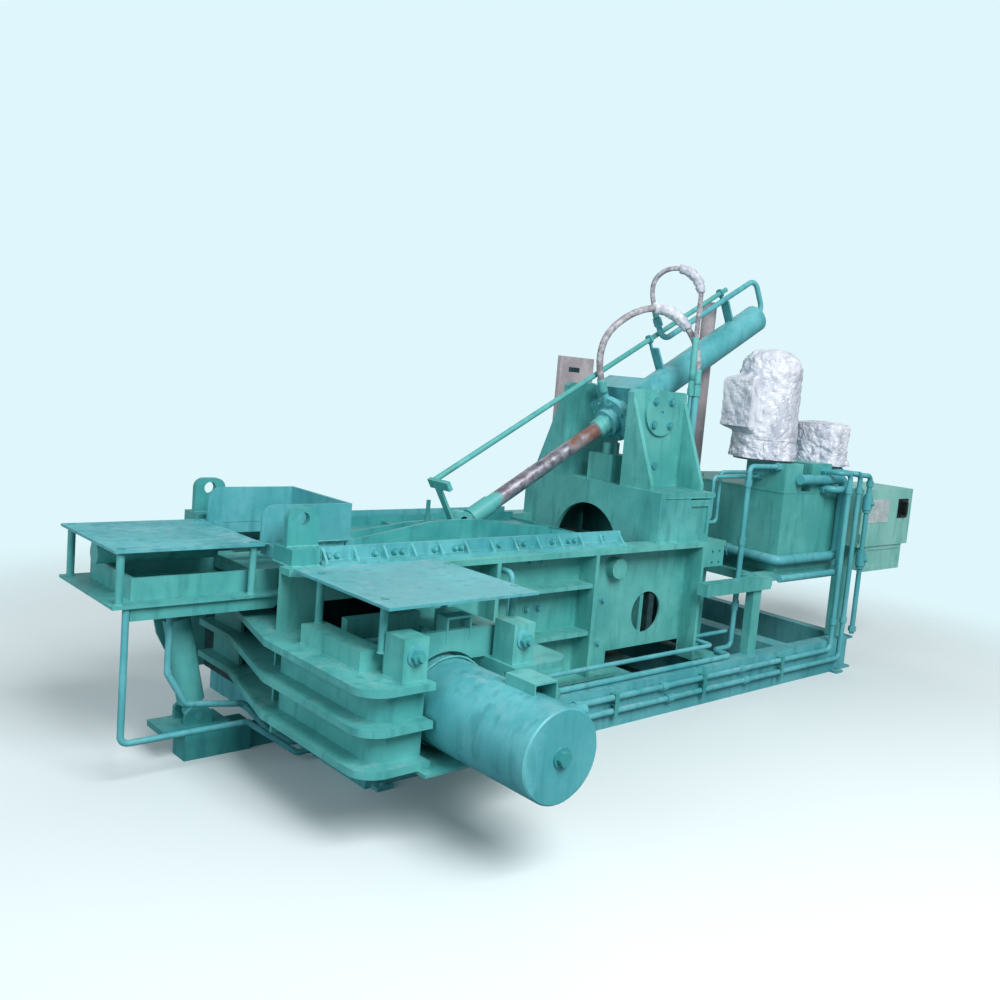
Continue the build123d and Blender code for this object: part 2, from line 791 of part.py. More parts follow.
# Lifting ears on pads above the wall flanges
ear_y = 380.0
ear_t = 30.0
ear_hole = 25.0
with BuildPart() as lifting_ears:
    for side, y in ((-1, ear_y), (1, ear_y + 20)):
        with BuildSketch(Plane.XZ.offset(-side * y)):
            with BuildLine():
                Polyline((-293, 882), (-165, 882), (-165, 1026), (-293, 1026), close=True)
            ear_face = make_face()
            fillet(ear_face.vertices().group_by(Axis.Y)[-1], 40)
            with Locations((-231, 985)):
                Circle(ear_hole, mode=Mode.SUBTRACT)
        extrude(amount=-side * ear_t)
        with Locations((-248, side * 405, 851)):
            Box(112, 140, 62)
        with Locations((-173, side * 386, 851)):
            Box(38, 100, 62)
lifting_ears.part.label = "lifting_ears"
export_step(lifting_ears.part, "parts/lifting_ears.step")

# Lid: plate with a high near rib, a low far rib, clevis cheeks, edge strips and two cheeks at the hinge
lid_left = 102.0
lid_right = 1500.0
lid_bottom = 782.0
lid_y = 430.0
rib_y = 100.0
rib_w = 16.0
cheek_y = 58.0
with BuildPart() as lid:
    with BuildSketch(Plane.XY.offset(lid_bottom)):
        with BuildLine():
            Polyline(
                (lid_left, -lid_y),
                (lid_right, -lid_y),
                (lid_right, lid_y),
                (lid_left, lid_y),
                close=True,
            )
        make_face()
    extrude(amount=16)
    for y, drop in ((-rib_y, 0.0), (rib_y, 36.0)):
        with BuildSketch(Plane.XZ.offset(-y - rib_w / 2)):
            with BuildLine():
                Polyline(
                    (lid_left + 20, lid_bottom + 10),
                    (lid_right - 20, lid_bottom + 10),
                    (lid_right - 20, lid_bottom + 28),
                    (pin_x + 20, 900 - drop),
                    (pin_x - 120, 903 - drop),
                    (pin_x - 260, 898 - drop),
                    (lid_left + 20, lid_bottom + 44 - drop / 2),
                    close=True,
                )
            make_face()
        extrude(amount=rib_w)
    for side in (-1, 1):
        with BuildSketch(Plane.XZ.offset(side * cheek_y - rib_w / 2)):
            with BuildLine():
                Polyline(
                    (pin_x - 190, lid_bottom + 10),
                    (pin_x + 190, lid_bottom + 10),
                    (pin_x + 35, pin_z + 12),
                    (pin_x - 35, pin_z + 12),
                    close=True,
                )
            make_face()
            with Locations((pin_x, pin_z)):
                Circle(36)
        extrude(amount=rib_w)
    for r, top in ((10, 963), (14, 890)):
        with BuildSketch(Plane.XY.offset(860)):
            with Locations((pin_x - 136, rib_y)):
                Circle(r)
        extrude(amount=top - 860)
    for y in (-lid_y + 12, lid_y - 12):
        with Locations(((lid_left + lid_right) / 2, y, (lid_bottom + 10 + 838) / 2)):
            Box(lid_right - lid_left - 60, 14, 838 - lid_bottom - 10)
    for x in (lid_left + 30, 640, 1000, lid_right - 40):
        with Locations((x, 0, lid_bottom + 21)):
            Box(14, 2 * lid_y - 30, 20)
    for side in (-1, 1):
        with BuildSketch(Plane.XZ.offset(-side * (lid_y - 28))):
            with BuildLine():
                Polyline(
                    (hinge_x - 110, lid_bottom + 8),
                    (hinge_x - 50, hinge_z),
                    (hinge_x - 35, hinge_z - 42),
                    (hinge_x + 35, hinge_z - 42),
                    (hinge_x + 50, hinge_z),
                    (lid_right - 10, lid_bottom + 8),
                    close=True,
                )
            make_face()
        extrude(amount=-side * 26)
    with BuildSketch(Plane.XZ.offset(-lid_y)):
        with Locations((hinge_x, hinge_z)):
            Circle(hinge_r)
    extrude(amount=2 * lid_y, mode=Mode.SUBTRACT)
    with BuildSketch(Plane.XZ.offset(-80)):
        with Locations((pin_x, pin_z)):
            Circle(pin_r)
    extrude(amount=160, mode=Mode.SUBTRACT)
lid.part.label = "lid"
export_step(lid.part, "parts/lid.step")

# Stub pins of the lid hinge, fast in the lid and running in the bosses
with BuildPart() as lid_hinge_pins:
    for side in (-1, 1):
        with BuildSketch(Plane.XZ.offset(-side * (lid_y - 30))):
            with Locations((hinge_x, hinge_z)):
                Circle(hinge_r)
        extrude(amount=-side * (wall_y + 38 - lid_y + 30))
lid_hinge_pins.part.label = "lid_hinge_pins"
export_step(lid_hinge_pins.part, "parts/lid_hinge_pins.step")

# Lid cylinder's barrel: tube, square trunnion block, gland flange, gland, port boss and indicator guides
gland_z = 98.0
ind_y = 36.0
ind_up = 252.0
ind_r = 14.0
guide_at = (-345.0, -1000.0)
port_at = -400.0
pipe_up = 219.0
pipe_r = 16.0
gland_port = 115.0
with BuildPart() as lid_barrel:
    with BuildSketch(lid_axis.offset(lid_back)):
        Circle(lid_barrel_r)
    extrude(amount=lid_front - lid_back)
    chamfer(lid_barrel.edges().filter_by(GeomType.CIRCLE).group_by(Axis.X)[-1], 8)
    with BuildSketch(lid_axis.offset(-86)):
        Rectangle(300, 300)
    extrude(amount=126)
    with BuildSketch(lid_axis.offset(gland_z)):
        Circle(128)
    extrude(amount=30)
    with BuildSketch(lid_axis.offset(lid_front)):
        Circle(74)
    extrude(amount=44)
    for side, reach in ((-1, tower_y - 150), (1, tower_y + far_shift - 150)):
        with BuildSketch(Plane.XZ.offset(-side * 150)):
            with Locations((trunnion_x, trunnion_z)):
                Circle(trunnion_r)
        extrude(amount=-side * (reach - 2))
    port_place = lid_axis.origin + lid_axis.z_dir * gland_port
    with BuildSketch(Plane(origin=port_place, x_dir=(0, 1, 0), z_dir=lid_up)):
        Circle(19)
    extrude(amount=154)
    for z in guide_at:
        with BuildSketch(lid_axis.offset(z)):
            with Locations((15, -(pipe_up - pipe_r + 60) / 2)):
                Rectangle(60, pipe_up - pipe_r - 60)
            with Locations((ind_y, -(ind_up + 60) / 2)):
                Rectangle(14, ind_up - 60)
            with Locations((ind_y, -ind_up)):
                Circle(26)
            with Locations((ind_y, -ind_up)):
                Circle(ind_r + free, mode=Mode.SUBTRACT)
        extrude(amount=12)
    with BuildSketch(lid_axis.offset(lid_back + 40)):
        Circle(lid_bore_r)
    extrude(amount=lid_front - lid_back - 60, mode=Mode.SUBTRACT)
    with BuildSketch(lid_axis.offset(lid_front - 30)):
        Circle(lid_rod_r + run)
    extrude(amount=90, mode=Mode.SUBTRACT)
lid_barrel.part.label = "lid_barrel"
export_step(lid_barrel.part, "parts/lid_barrel.step")

# Lid cylinder's rod: piston, rod, clamped sleeve and a slotted eye
slot_x = pin_x - eye_slot / 2 * math.cos(math.radians(25))
slot_z = pin_z + eye_slot / 2 * math.sin(math.radians(25))
with BuildPart() as lid_rod:
    with BuildSketch(lid_axis.offset(20)):
        Circle(lid_bore_r - run)
    extrude(amount=60)
    with BuildSketch(lid_axis.offset(80)):
        Circle(lid_rod_r)
    extrude(amount=lid_reach - 80 - 46)
    with BuildSketch(lid_axis.offset(lid_reach - 170)):
        Circle(46)
    extrude(amount=126)
    with BuildSketch(Plane.XZ.offset(-34)):
        with Locations((slot_x, slot_z)):
            SlotCenterToCenter(eye_slot, 2 * eye_r, rotation=-25)
    extrude(amount=68)
    with BuildSketch(Plane.XZ.offset(-34)):
        with Locations((slot_x, slot_z)):
            SlotCenterToCenter(eye_slot, 2 * pin_r + 8, rotation=-25)
    extrude(amount=68, mode=Mode.SUBTRACT)
lid_rod.part.label = "lid_rod"
export_step(lid_rod.part, "parts/lid_rod.step")

with BuildPart() as lid_pin:
    with BuildSketch(Plane.XZ.offset(-78)):
        with Locations((pin_x, pin_z)):
            Circle(pin_r)
    extrude(amount=156)
    for y in (-78, 66.5):
        with BuildSketch(Plane.XZ.offset(y)):
            with Locations((pin_x, pin_z)):
                Circle(34)
        extrude(amount=11.5)
lid_pin.part.label = "lid_pin"
export_step(lid_pin.part, "parts/lid_pin.step")

# Position indicator: post on the rod eye and the thin rod that runs up beside the barrel
ind_low = lid_reach + 56
ind_high = -1052.0
with BuildPart() as lid_indicator:
    with BuildSketch(lid_axis.offset(ind_low - 8)):
        with Locations((0, -(ind_up + 36) / 2)):
            Rectangle(42, ind_up - 36)
    extrude(amount=12)
    with BuildSketch(lid_axis.offset(ind_low - 12)):
        with Locations((-26, -ind_up + 4)):
            Rectangle(152, 44)
    extrude(amount=20)
    with BuildSketch(Plane.XZ.offset(-34)):
        with Locations((slot_x, slot_z)):
            SlotCenterToCenter(eye_slot, 2 * eye_r, rotation=-25)
    extrude(amount=68, mode=Mode.SUBTRACT)
    with BuildSketch(lid_axis.offset(ind_high)):
        with Locations((ind_y, -ind_up)):
            Circle(ind_r)
    extrude(amount=ind_low - ind_high)
lid_indicator.part.label = "lid_indicator"
export_step(lid_indicator.part, "parts/lid_indicator.step")

# Pipe that feeds the far end of the lid cylinder
with BuildPart() as barrel_pipe:
    with BuildLine(Plane(origin=lid_axis.origin, x_dir=lid_axis.z_dir, z_dir=(0, 1, 0))) as barrel_route:
        FilletPolyline(
            (port_at, 352),
            (port_at, pipe_up),
            (lid_back - 72, pipe_up),
            (lid_back - 72, 8),
            (lid_back, 8),
            radius=60,
        )
    with BuildSketch(Plane(origin=barrel_route.line @ 0, z_dir=barrel_route.line % 0)):
        Circle(pipe_r)
    sweep()
    with BuildSketch(Plane(origin=barrel_route.line @ 0, z_dir=barrel_route.line % 0)):
        RegularPolygon(pipe_r + 9, 6)
    extrude(amount=44)
barrel_pipe.part.label = "barrel_pipe"
export_step(barrel_pipe.part, "parts/barrel_pipe.step")

# Main ram's cylinder, fixed by its mounting plate inside the housing
with BuildPart() as main_cylinder:
    with BuildSketch(Plane.YZ.offset(1664)):
        with Locations((0, main_z)):
            Circle(main_r)
    extrude(amount=2560 - 1664)
    with BuildSketch(Plane.YZ.offset(1700)):
        with Locations((0, 560)):
            Rectangle(2 * wall_in, 420)
        with Locations((-220, 450), (220, 450)):
            Circle(60, mode=Mode.SUBTRACT)
    extrude(amount=40)
    with BuildSketch(Plane.YZ.offset(1714)):
        with Locations((0, main_z)):
            Circle(main_bore_r)
    extrude(amount=2520 - 1714, mode=Mode.SUBTRACT)
    with BuildSketch(Plane.YZ.offset(1660)):
        with Locations((0, main_z)):
            Circle(main_rod_r + run)
    extrude(amount=60, mode=Mode.SUBTRACT)
main_cylinder.part.label = "main_cylinder"
export_step(main_cylinder.part, "parts/main_cylinder.step")

with BuildPart() as main_rod:
    with BuildSketch(Plane.YZ.offset(2510 - 60)):
        with Locations((0, main_z)):
            Circle(main_bore_r - run)
    extrude(amount=60)
    with BuildSketch(Plane.YZ.offset(ram_back)):
        with Locations((0, main_z)):
            Circle(main_rod_r)
    extrude(amount=2510 - 60 - ram_back)
main_rod.part.label = "main_rod"
export_step(main_rod.part, "parts/main_rod.step")

# Main ram: full platen, lower body and rear plate
with BuildPart() as main_ram:
    with Locations((ram_face + 15, 0, (floor_top + 4 + 690) / 2)):
        Box(30, 2 * (wall_in - 8), 690 - floor_top - 4)
    with Locations(((ram_face + ram_back) / 2 + 10, 0, 600)):
        Box(ram_back - ram_face - 20, 500, 20)
    for y in (-240, 240):
        with Locations(((ram_face + ram_back) / 2 + 10, y, (floor_top + 4 + 600) / 2)):
            Box(ram_back - ram_face - 20, 24, 600 - floor_top - 4)
    with Locations((ram_back - 15, 0, (floor_top + 4 + 690) / 2)):
        Box(30, 500, 690 - floor_top - 4)
main_ram.part.label = "main_ram"
export_step(main_ram.part, "parts/main_ram.step")

# Ejector cylinder under the left deck: floor block with clevis, barrel, rod, lever and shaft
ej_x = -444.0
ej_y = -28.0
ej_z = 170.0
lever_x = -640.0
lever_z = 600.0
lever_arm = 104.5
ej_pin_r = 16.0
eye_x = lever_x + lever_arm
eye_z = lever_z
ej_len = math.hypot(ej_x - eye_x, eye_z - ej_z)
ej_lean = math.atan2(ej_x - eye_x, eye_z - ej_z)
ej_up = (-math.sin(ej_lean), 0.0, math.cos(ej_lean))
ej_axis = Plane(origin=(ej_x, ej_y, ej_z), x_dir=(0, 1, 0), z_dir=ej_up)
with BuildPart() as ejector_foot:
    with Locations((-368, -50, 56)):
        Box(264, 110, 112)
    with Locations((-457, ej_y, 123.5)):
        Box(258, 154, 23)
    for side in (-1, 1):
        with BuildSketch(Plane.XZ.offset(-ej_y - side * 42)):
            with BuildLine():
                Polyline(
                    (-496, 130),
                    (-392, 130),
                    (-392, 180),
                    (-420, 207),
                    (-468, 207),
                    (-496, 180),
                    close=True,
                )
            make_face()
            with Locations((ej_x, ej_z)):
                Circle(ej_pin_r + run, mode=Mode.SUBTRACT)
        extrude(amount=-side * 20)
    with Locations((-149, -50, 40)):
        Box(178, 80, 80)
ejector_foot.part.label = "ejector_foot"
export_step(ejector_foot.part, "parts/ejector_foot.step")

with BuildPart() as ejector_barrel:
    with BuildSketch(ej_axis.offset(46)):
        Circle(50)
    extrude(amount=ej_len - 96)
    with BuildSketch(Plane.XZ.offset(-ej_y - 30)):
        with Locations((ej_x, ej_z)):
            Circle(30)
    extrude(amount=60)
    with BuildSketch(ej_axis.offset(20)):
        Rectangle(60, 56)
    extrude(amount=36)
    with BuildSketch(Plane.XZ.offset(-ej_y - 64)):
        with Locations((ej_x, ej_z)):
            Circle(ej_pin_r)
    extrude(amount=128)
    with BuildSketch(ej_axis.offset(76)):
        Circle(38)
    extrude(amount=ej_len - 150, mode=Mode.SUBTRACT)
    with BuildSketch(ej_axis.offset(ej_len - 90)):
        Circle(20 + run)
    extrude(amount=60, mode=Mode.SUBTRACT)
ejector_barrel.part.label = "ejector_barrel"
export_step(ejector_barrel.part, "parts/ejector_barrel.step")

ej_clear = 6.0
with BuildPart() as ejector_rod:
    with BuildSketch(ej_axis.offset(ej_len - 190)):
        Circle(38 - run)
    extrude(amount=30)
    with BuildSketch(ej_axis.offset(ej_len - 160)):
        Circle(20)
    extrude(amount=140)
    with BuildSketch(Plane.XZ.offset(-ej_y - 18)):
        with Locations((eye_x, eye_z)):
            Circle(28)
    extrude(amount=36)
    with BuildSketch(Plane.XZ.offset(-ej_y - 18)):
        with Locations((eye_x, eye_z)):
            Circle(10 + ej_clear)
    extrude(amount=36, mode=Mode.SUBTRACT)
ejector_rod.part.label = "ejector_rod"
export_step(ejector_rod.part, "parts/ejector_rod.step")

with BuildPart() as ejector_lever:
    with BuildSketch(Plane.XZ.offset(-150)):
        with Locations((lever_x, lever_z)):
            Circle(12)
    extrude(amount=300)
    for side in (-1, 1):
        with BuildSketch(Plane.XZ.offset(-ej_y - side * 24)):
            with BuildLine():
                Polyline(
                    (lever_x - 22, lever_z - 20),
                    (lever_x - 22, lever_z + 20),
                    (lever_x + 22, lever_z + 20),
                    (eye_x + 20, eye_z + 18),
                    (eye_x + 20, eye_z - 18),
                    close=True,
                )
            make_face()
        extrude(amount=-side * 12)
    with BuildSketch(Plane.XZ.offset(-ej_y - 36)):
        with Locations((eye_x, eye_z)):
            Circle(10)
    extrude(amount=72)
ejector_lever.part.label = "ejector_lever"
export_step(ejector_lever.part, "parts/ejector_lever.step")

# Oil tank with its cover
with BuildPart() as tank:
    with Locations(((tank_x + tank_end) / 2, (tank_near + tank_far) / 2, (tank_bottom + tank_top - 10) / 2)):
        Box(tank_end - tank_x, tank_far - tank_near, tank_top - 10 - tank_bottom)
    offset(amount=-8, kind=Kind.INTERSECTION, mode=Mode.SUBTRACT)
    with Locations(((tank_x + tank_end) / 2, (tank_near + tank_far) / 2, tank_top - 5)):
        Box(tank_end - tank_x + 6, tank_far - tank_near + 6, 10)
tank.part.label = "tank"
export_step(tank.part, "parts/tank.step")

# Pump and valve blocks on the tank
with BuildPart() as valve_blocks:
    with Locations((2674, -432, (tank_top + 1234) / 2)):
        Box(164, 276, 1234 - tank_top)
    with Locations((2949, -432, (tank_top + 1237) / 2)):
        Box(202, 276, 1237 - tank_top)
    with Locations((3165, -400, (tank_top + 1215) / 2)):
        Box(200, 220, 1215 - tank_top)
    with Locations((1790, 20, house_top + 70)):
        Box(150, 180, 140)
    with BuildSketch(Plane.XY.offset(house_top + 140)):
        with Locations((1760, 20), (1820, 20)):
            Circle(24)
    extrude(amount=60)
valve_blocks.part.label = "valve_blocks"
export_step(valve_blocks.part, "parts/valve_blocks.step")

# Motors standing on the blocks
m1_x = 2640.0
m1_y = -360.0
m2_x = 3165.0
m2_y = -400.0
m1_side = Plane(origin=(m1_x, m1_y, 0), x_dir=(1, 0, 0), z_dir=(0, -1, 0))
with BuildPart() as motor_1:
    with BuildSketch(Plane.XY.offset(1234)):
        with Locations((m1_x, m1_y)):
            Circle(165)
    extrude(amount=30)
    with BuildSketch(m1_side):
        with BuildLine():
            Polyline((0, 1264), (150, 1264), (150, 1772))
            JernArc((150, 1772), (0, 1), 70, 90)
            Polyline((80, 1842), (0, 1842), (0, 1264))
        make_face()
    revolve(axis=Axis((m1_x, m1_y, 0), (0, 0, 1)))
    with Locations((m1_x - 175, m1_y + 40, 1540)):
        Box(110, 150, 260)
motor_1.part.label = "motor_1"
export_step(motor_1.part, "parts/motor_1.step")

with BuildPart() as motor_2:
    with BuildSketch(Plane.XY.offset(1215)):
        with Locations((m2_x, m2_y)):
            Circle(110)
    extrude(amount=30)
    with BuildSketch(Plane.XY.offset(1245)):
        with Locations((m2_x, m2_y)):
            Circle(140)
    extrude(amount=210)
motor_2.part.label = "motor_2"
export_step(motor_2.part, "parts/motor_2.step")

# Film wrapped round the motors for transport
with BuildPart() as motor_wraps:
    with BuildSketch(m1_side):
        with BuildLine():
            Polyline((0, 1268), (176, 1268), (176, 1762))
            JernArc((176, 1762), (0, 1), 88, 90)
            Polyline((88, 1850), (0, 1850), (0, 1268))
        make_face()
    revolve(axis=Axis((m1_x, m1_y, 0), (0, 0, 1)))
    with Locations((m1_x - 170, m1_y + 40, 1548.5)):
        Box(150, 180, 283)
    with BuildSketch(m1_side):
        with BuildLine():
            Polyline((0, 1264), (168, 1264), (168, 1762))
            JernArc((168, 1762), (0, 1), 80, 90)
            Polyline((88, 1842), (0, 1842), (0, 1264))
        make_face()
    revolve(axis=Axis((m1_x, m1_y, 0), (0, 0, 1)), mode=Mode.SUBTRACT)
    with Locations((m1_x - 170, m1_y + 40, 1540)):
        Box(134, 164, 264, mode=Mode.SUBTRACT)
    with BuildSketch(Plane.XY.offset(1247)):
        with Locations((m2_x, m2_y)):
            Circle(164)
    extrude(amount=233)
    with BuildSketch(Plane.XY.offset(1246)):
        with Locations((m2_x, m2_y)):
            Circle(158)
    extrude(amount=209, mode=Mode.SUBTRACT)
motor_wraps.part.label = "motor_wraps"
export_step(motor_wraps.part, "parts/motor_wraps.step")

# Stand under the power pack
with BuildPart() as pack_stand:
    for side in (-1, 1):
        with Locations((2175, side * 620, 587)):
            Box(550, 70, 64)
        with Locations((2359, side * 610, (beam_h + 555) / 2)):
            Box(72, 50, 555 - beam_h)
        with Locations((3240, side * 590, (beam_h + tank_bottom) / 2)):
            Box(72, 60, tank_bottom - beam_h)
    for side in (-1, 1):
        with Locations((2430, side * (main_r + 10 + 655) / 2, 595)):
            Box(50, 645 - main_r, 48)
    with Locations((2660, 0, 595)):
        Box(100, 1100, 50)
    for side in (-1, 1):
        with Locations((2810, side * 540, 595)):
            Box(930, 50, 50)
    with Locations((3240, 0, 595)):
        Box(72, 1200, 50)
pack_stand.part.label = "pack_stand"
export_step(pack_stand.part, "parts/pack_stand.step")

# Pale plate box behind the tower and the pale riser pipe on the tank
with BuildPart() as far_box:
    with Locations((1881, 455, (house_top + 1713) / 2)):
        Box(260, 30, 1713 - house_top)
    fillet(far_box.edges().filter_by(Axis.Z), 4)
far_box.part.label = "far_box"
export_step(far_box.part, "parts/far_box.step")

with BuildPart() as riser:
    with BuildSketch(Plane.XY.offset(tank_top)):
        with Locations((2650, 150)):
            Circle(70)
    extrude(amount=20)
    with BuildSketch(Plane.XY.offset(tank_top + 20)):
        with Locations((2650, 150)):
            Circle(43)
    extrude(amount=2120 - tank_top - 20)
riser.part.label = "riser"
export_step(riser.part, "parts/riser.step")

# Control cabinet with its lower box, its door and its rotary switch
cab_x = 3394.0
cab_end = 4012.0
cab_y = -600.0
cab_z = 725.0
cab_top = 1085.0
cab_d = 350.0
door_t = 20.0
hinge_y = cab_y - 9.0
switch_x = cab_end - 112.0
switch_z = cab_top - 125.0
with BuildPart() as cabinet:
    with Locations(((cab_x + cab_end) / 2, cab_y + door_t + (cab_d - door_t) / 2, (cab_z + cab_top) / 2)):
        Box(cab_end - cab_x, cab_d - door_t, cab_top - cab_z)
    with Locations(((cab_x + cab_end) / 2, cab_y + door_t + 140, (cab_z + cab_top) / 2)):
        Box(cab_end - cab_x - 6, 280, cab_top - cab_z - 6, mode=Mode.SUBTRACT)
    with Locations((3736, cab_y + 160, (562 + cab_z) / 2)):
        Box(444, 300, cab_z - 562)
    with Locations((3736, cab_y + 10, (562 + cab_z) / 2)):
        Box(384, 12, cab_z - 562 - 56, mode=Mode.SUBTRACT)
cabinet.part.label = "cabinet"
export_step(cabinet.part, "parts/cabinet.step")

with BuildPart() as cabinet_door:
    with Locations(((cab_x + 3 + cab_end) / 2, cab_y + (door_t - 1) / 2, (cab_z + cab_top) / 2)):
        Box(cab_end - cab_x - 3, door_t - 1, cab_top - cab_z)
    for z in (cab_z + 60, cab_top - 60):
        with BuildSketch(Plane.XY.offset(z - 25)):
            with Locations((cab_x + 9, hinge_y)):
                Circle(9)
            with Locations((cab_x + 18, cab_y - 2)):
                Rectangle(26, 6)
        extrude(amount=50)
    with BuildSketch(Plane.XZ.offset(-cab_y - door_t)):
        with Locations((switch_x, switch_z)):
            Circle(9 + free)
    extrude(amount=door_t, mode=Mode.SUBTRACT)
cabinet_door.part.label = "cabinet_door"
export_step(cabinet_door.part, "parts/cabinet_door.step")

with BuildPart() as rotary_switch:
    with BuildSketch(Plane.XZ.offset(-cab_y - door_t + 2)):
        with Locations((switch_x, switch_z)):
            Circle(9)
    extrude(amount=door_t)
    with BuildSketch(Plane.XZ.offset(-cab_y + 1)):
        with Locations((switch_x, switch_z)):
            Rectangle(62, 112)
    extrude(amount=8)
    with BuildSketch(Plane.XZ.offset(-cab_y + 9)):
        with Locations((switch_x, switch_z)):
            Rectangle(20, 84)
    extrude(amount=26)
rotary_switch.part.label = "rotary_switch"
export_step(rotary_switch.part, "parts/rotary_switch.step")

with BuildPart() as cabinet_frame:
    with Locations(((tank_end + cab_end) / 2 - 40, cab_y + 330, 541)):
        Box(cab_end - tank_end - 80, 60, 42)
    with Locations(((tank_end + 3514) / 2, cab_y + 330, 660)):
        Box(3514 - tank_end, 50, 50)
    with BuildSketch(Plane.YZ.offset(cab_end - 54)):
        with Locations((cab_y + 60, 590)):
            Circle(14)
    extrude(amount=70)
cabinet_frame.part.label = "cabinet_frame"
export_step(cabinet_frame.part, "parts/cabinet_frame.step")

# Oil lines: along the near beam and up to the pack, under the left deck, behind the tower, by the near deck
line_r = 15.0
thin_r = 11.0
suction_r = 28.0
hose_a_end = (2136.0, -240.0, 1620.0)
pipe_runs = (
    (
        thin_r,
        (
            (470, -640, 290), (2000, -640, 290), (2000, -480, 290), (2385, -480, 290),
            (2385, -480, 1190), (2592, -480, 1190),
        ),
    ),
    (
        14.0,
        (
            (520, -640, 212), (2170, -640, 212), (2170, -520, 212), (2320, -520, 212),
            (2320, -520, 1212), (2592, -520, 1212),
        ),
    ),
    (
        line_r,
        (
            (560, -697, 150), (3060, -697, 150), (3060, -697, 1198), (2960, -697, 1198),
            (2960, -570, 1198),
        ),
    ),
    (
        line_r,
        (
            (600, -697, 84), (3170, -697, 84), (3170, -697, 1195), (3120, -697, 1195),
            (3120, -510, 1195),
        ),
    ),
    (
        line_r,
        (
            (3285, -697, 220), (3285, -697, 1185), (3215, -697, 1185), (3215, -510, 1185),
        ),
    ),
    (
        suction_r,
        (
            (2558, -150, 695), (2558, -602, 695), (3150, -602, 695), (3150, -602, 1150),
            (2690, -602, 1150),
        ),
    ),
    (
        20.0,
        (
            (2520, -652, 604), (3110, -652, 604), (3110, -652, 1098), (2964, -652, 1098),
            (2964, -570, 1098),
        ),
    ),
    (
        12.0,
        (
            (-795, -260, 667), (-795, -260, 178), (-330, -260, 178), (-240, -290, 110),
            (-150, -323, 40), (-60, -323, 40),
        ),
    ),
    (
        12.0,
        (
            (-603, -160, 667), (-603, -160, 380), (-528, -160, 250), (-300, -160, 215),
            (-215, -200, 110), (-140, -260, 60), (-60, -260, 60),
        ),
    ),
    (
        20.0,
        (
            hose_a_end, (2136, -240, 1000), (2136, -120, 1000), (2060, -120, 1000),
        ),
    ),
    (
        10.0,
        (
            (2092, -240, 1640), (2092, -240, 1050), (2060, -240, 1050),
        ),
    ),
    (
        10.0,
        (
            (2592, -400, 1140), (2172, -400, 1140), (2172, -400, 905), (2060, -400, 905),
        ),
    ),
    (
        10.0,
        (
            (2592, -350, 1160), (2290, -350, 1160), (2290, -350, 880), (2060, -350, 880),
        ),
    ),
    (
        12.0,
        (
            (640, -600, 560), (640, -600, 760), (640, -450, 760),
        ),
    ),
)
with BuildPart() as oil_pipes:
    for r, points in pipe_runs:
        with BuildLine() as route:
            FilletPolyline(*points, radius=min(2.5 * r, 45))
        with BuildSketch(Plane(origin=route.line @ 0, z_dir=route.line % 0)):
            Circle(r)
        sweep()
    with BuildSketch(Plane.XZ.offset(570)):
        with Locations((2714, 1150)):
            Circle(22)
    extrude(amount=30)
oil_pipes.part.label = "oil_pipes"
export_step(oil_pipes.part, "parts/oil_pipes.step")

# Clips that hold those lines on the beam
with BuildPart() as pipe_clips:
    for x in (760, 1240, 1880, 2560):
        with Locations((x, -beam_y - 0.75, 117)):
            Box(36, 1.5, 110)
        with Locations((x, -beam_y - 33 - 2, 117)):
            Box(24, 4, 110)
        for z in (66, 117, 168):
            with Locations((x, -beam_y - 18, z)):
                Box(24, 32, 3)
    for x in (640, 1240, 1880):
        with Locations((x, -640, 195 + 1)):
            Box(30, 60, 2)
pipe_clips.part.label = "pipe_clips"
export_step(pipe_clips.part, "parts/pipe_clips.step")

# Hoses: straight runs joined by tangent arcs, each radius from its shorter run and half its turn
hose_a_r = 18.0
hose_b_r = 13.0
hose_a = (
    (1678.4, 0.0, 1534.0),
    (1614.0, 0.0, 1646.8),
    (1630.0, -5.0, 1830.0),
    (1755.0, -50.0, 1955.0),
    (1907.0, -90.0, 2014.0),
    (2045.0, -135.0, 1985.0),
    (2130.0, -200.0, 1870.0),
    (2136.0, -240.0, 1740.0),
    hose_a_end,
)
hose_b = (
    (2027.0, 0.0, 1963.0),
    (1971.0, 0.0, 2061.0),
    (1958.0, -14.0, 2168.0),
    (1990.0, -96.0, 2232.0),
    (2052.0, -190.0, 2222.0),
    (2093.0, -247.0, 2138.0),
    (2092.0, -240.0, 2010.0),
    (2092.0, -240.0, 1640.5),
)
hose_radii = []
for points in (hose_a, hose_b):
    radii = []
    for i in range(1, len(points) - 1):
        before = Vector(*points[i]) - Vector(*points[i - 1])
        after = Vector(*points[i + 1]) - Vector(*points[i])
        turn = math.radians(before.get_angle(after))
        radii.append(0.45 * min(before.length, after.length) / math.tan(turn / 2))
    hose_radii.append(radii)
print("hose bend radii", [[round(r) for r in radii] for radii in hose_radii])
with BuildPart() as hose_gland:
    with BuildLine() as route:
        FilletPolyline(*hose_a, radius=hose_radii[0])
    with BuildSketch(Plane(origin=route.line @ 0, z_dir=route.line % 0)):
        Circle(hose_a_r)
    sweep()
hose_gland.part.label = "hose_gland"
gland_length = sum(edge.length for edge in route.line.edges())
print("hose_gland length", round(gland_length), "volume", round(hose_gland.part.volume))
export_step(hose_gland.part, "parts/hose_gland.step")

with BuildPart() as hose_barrel:
    with BuildLine() as route:
        FilletPolyline(*hose_b, radius=hose_radii[1])
    with BuildSketch(Plane(origin=route.line @ 0, z_dir=route.line % 0)):
        Circle(hose_b_r)
    sweep()
hose_barrel.part.label = "hose_barrel"
barrel_length = sum(edge.length for edge in route.line.edges())
print("hose_barrel length", round(barrel_length), "volume", round(hose_barrel.part.volume))
export_step(hose_barrel.part, "parts/hose_barrel.step")
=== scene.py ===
import math

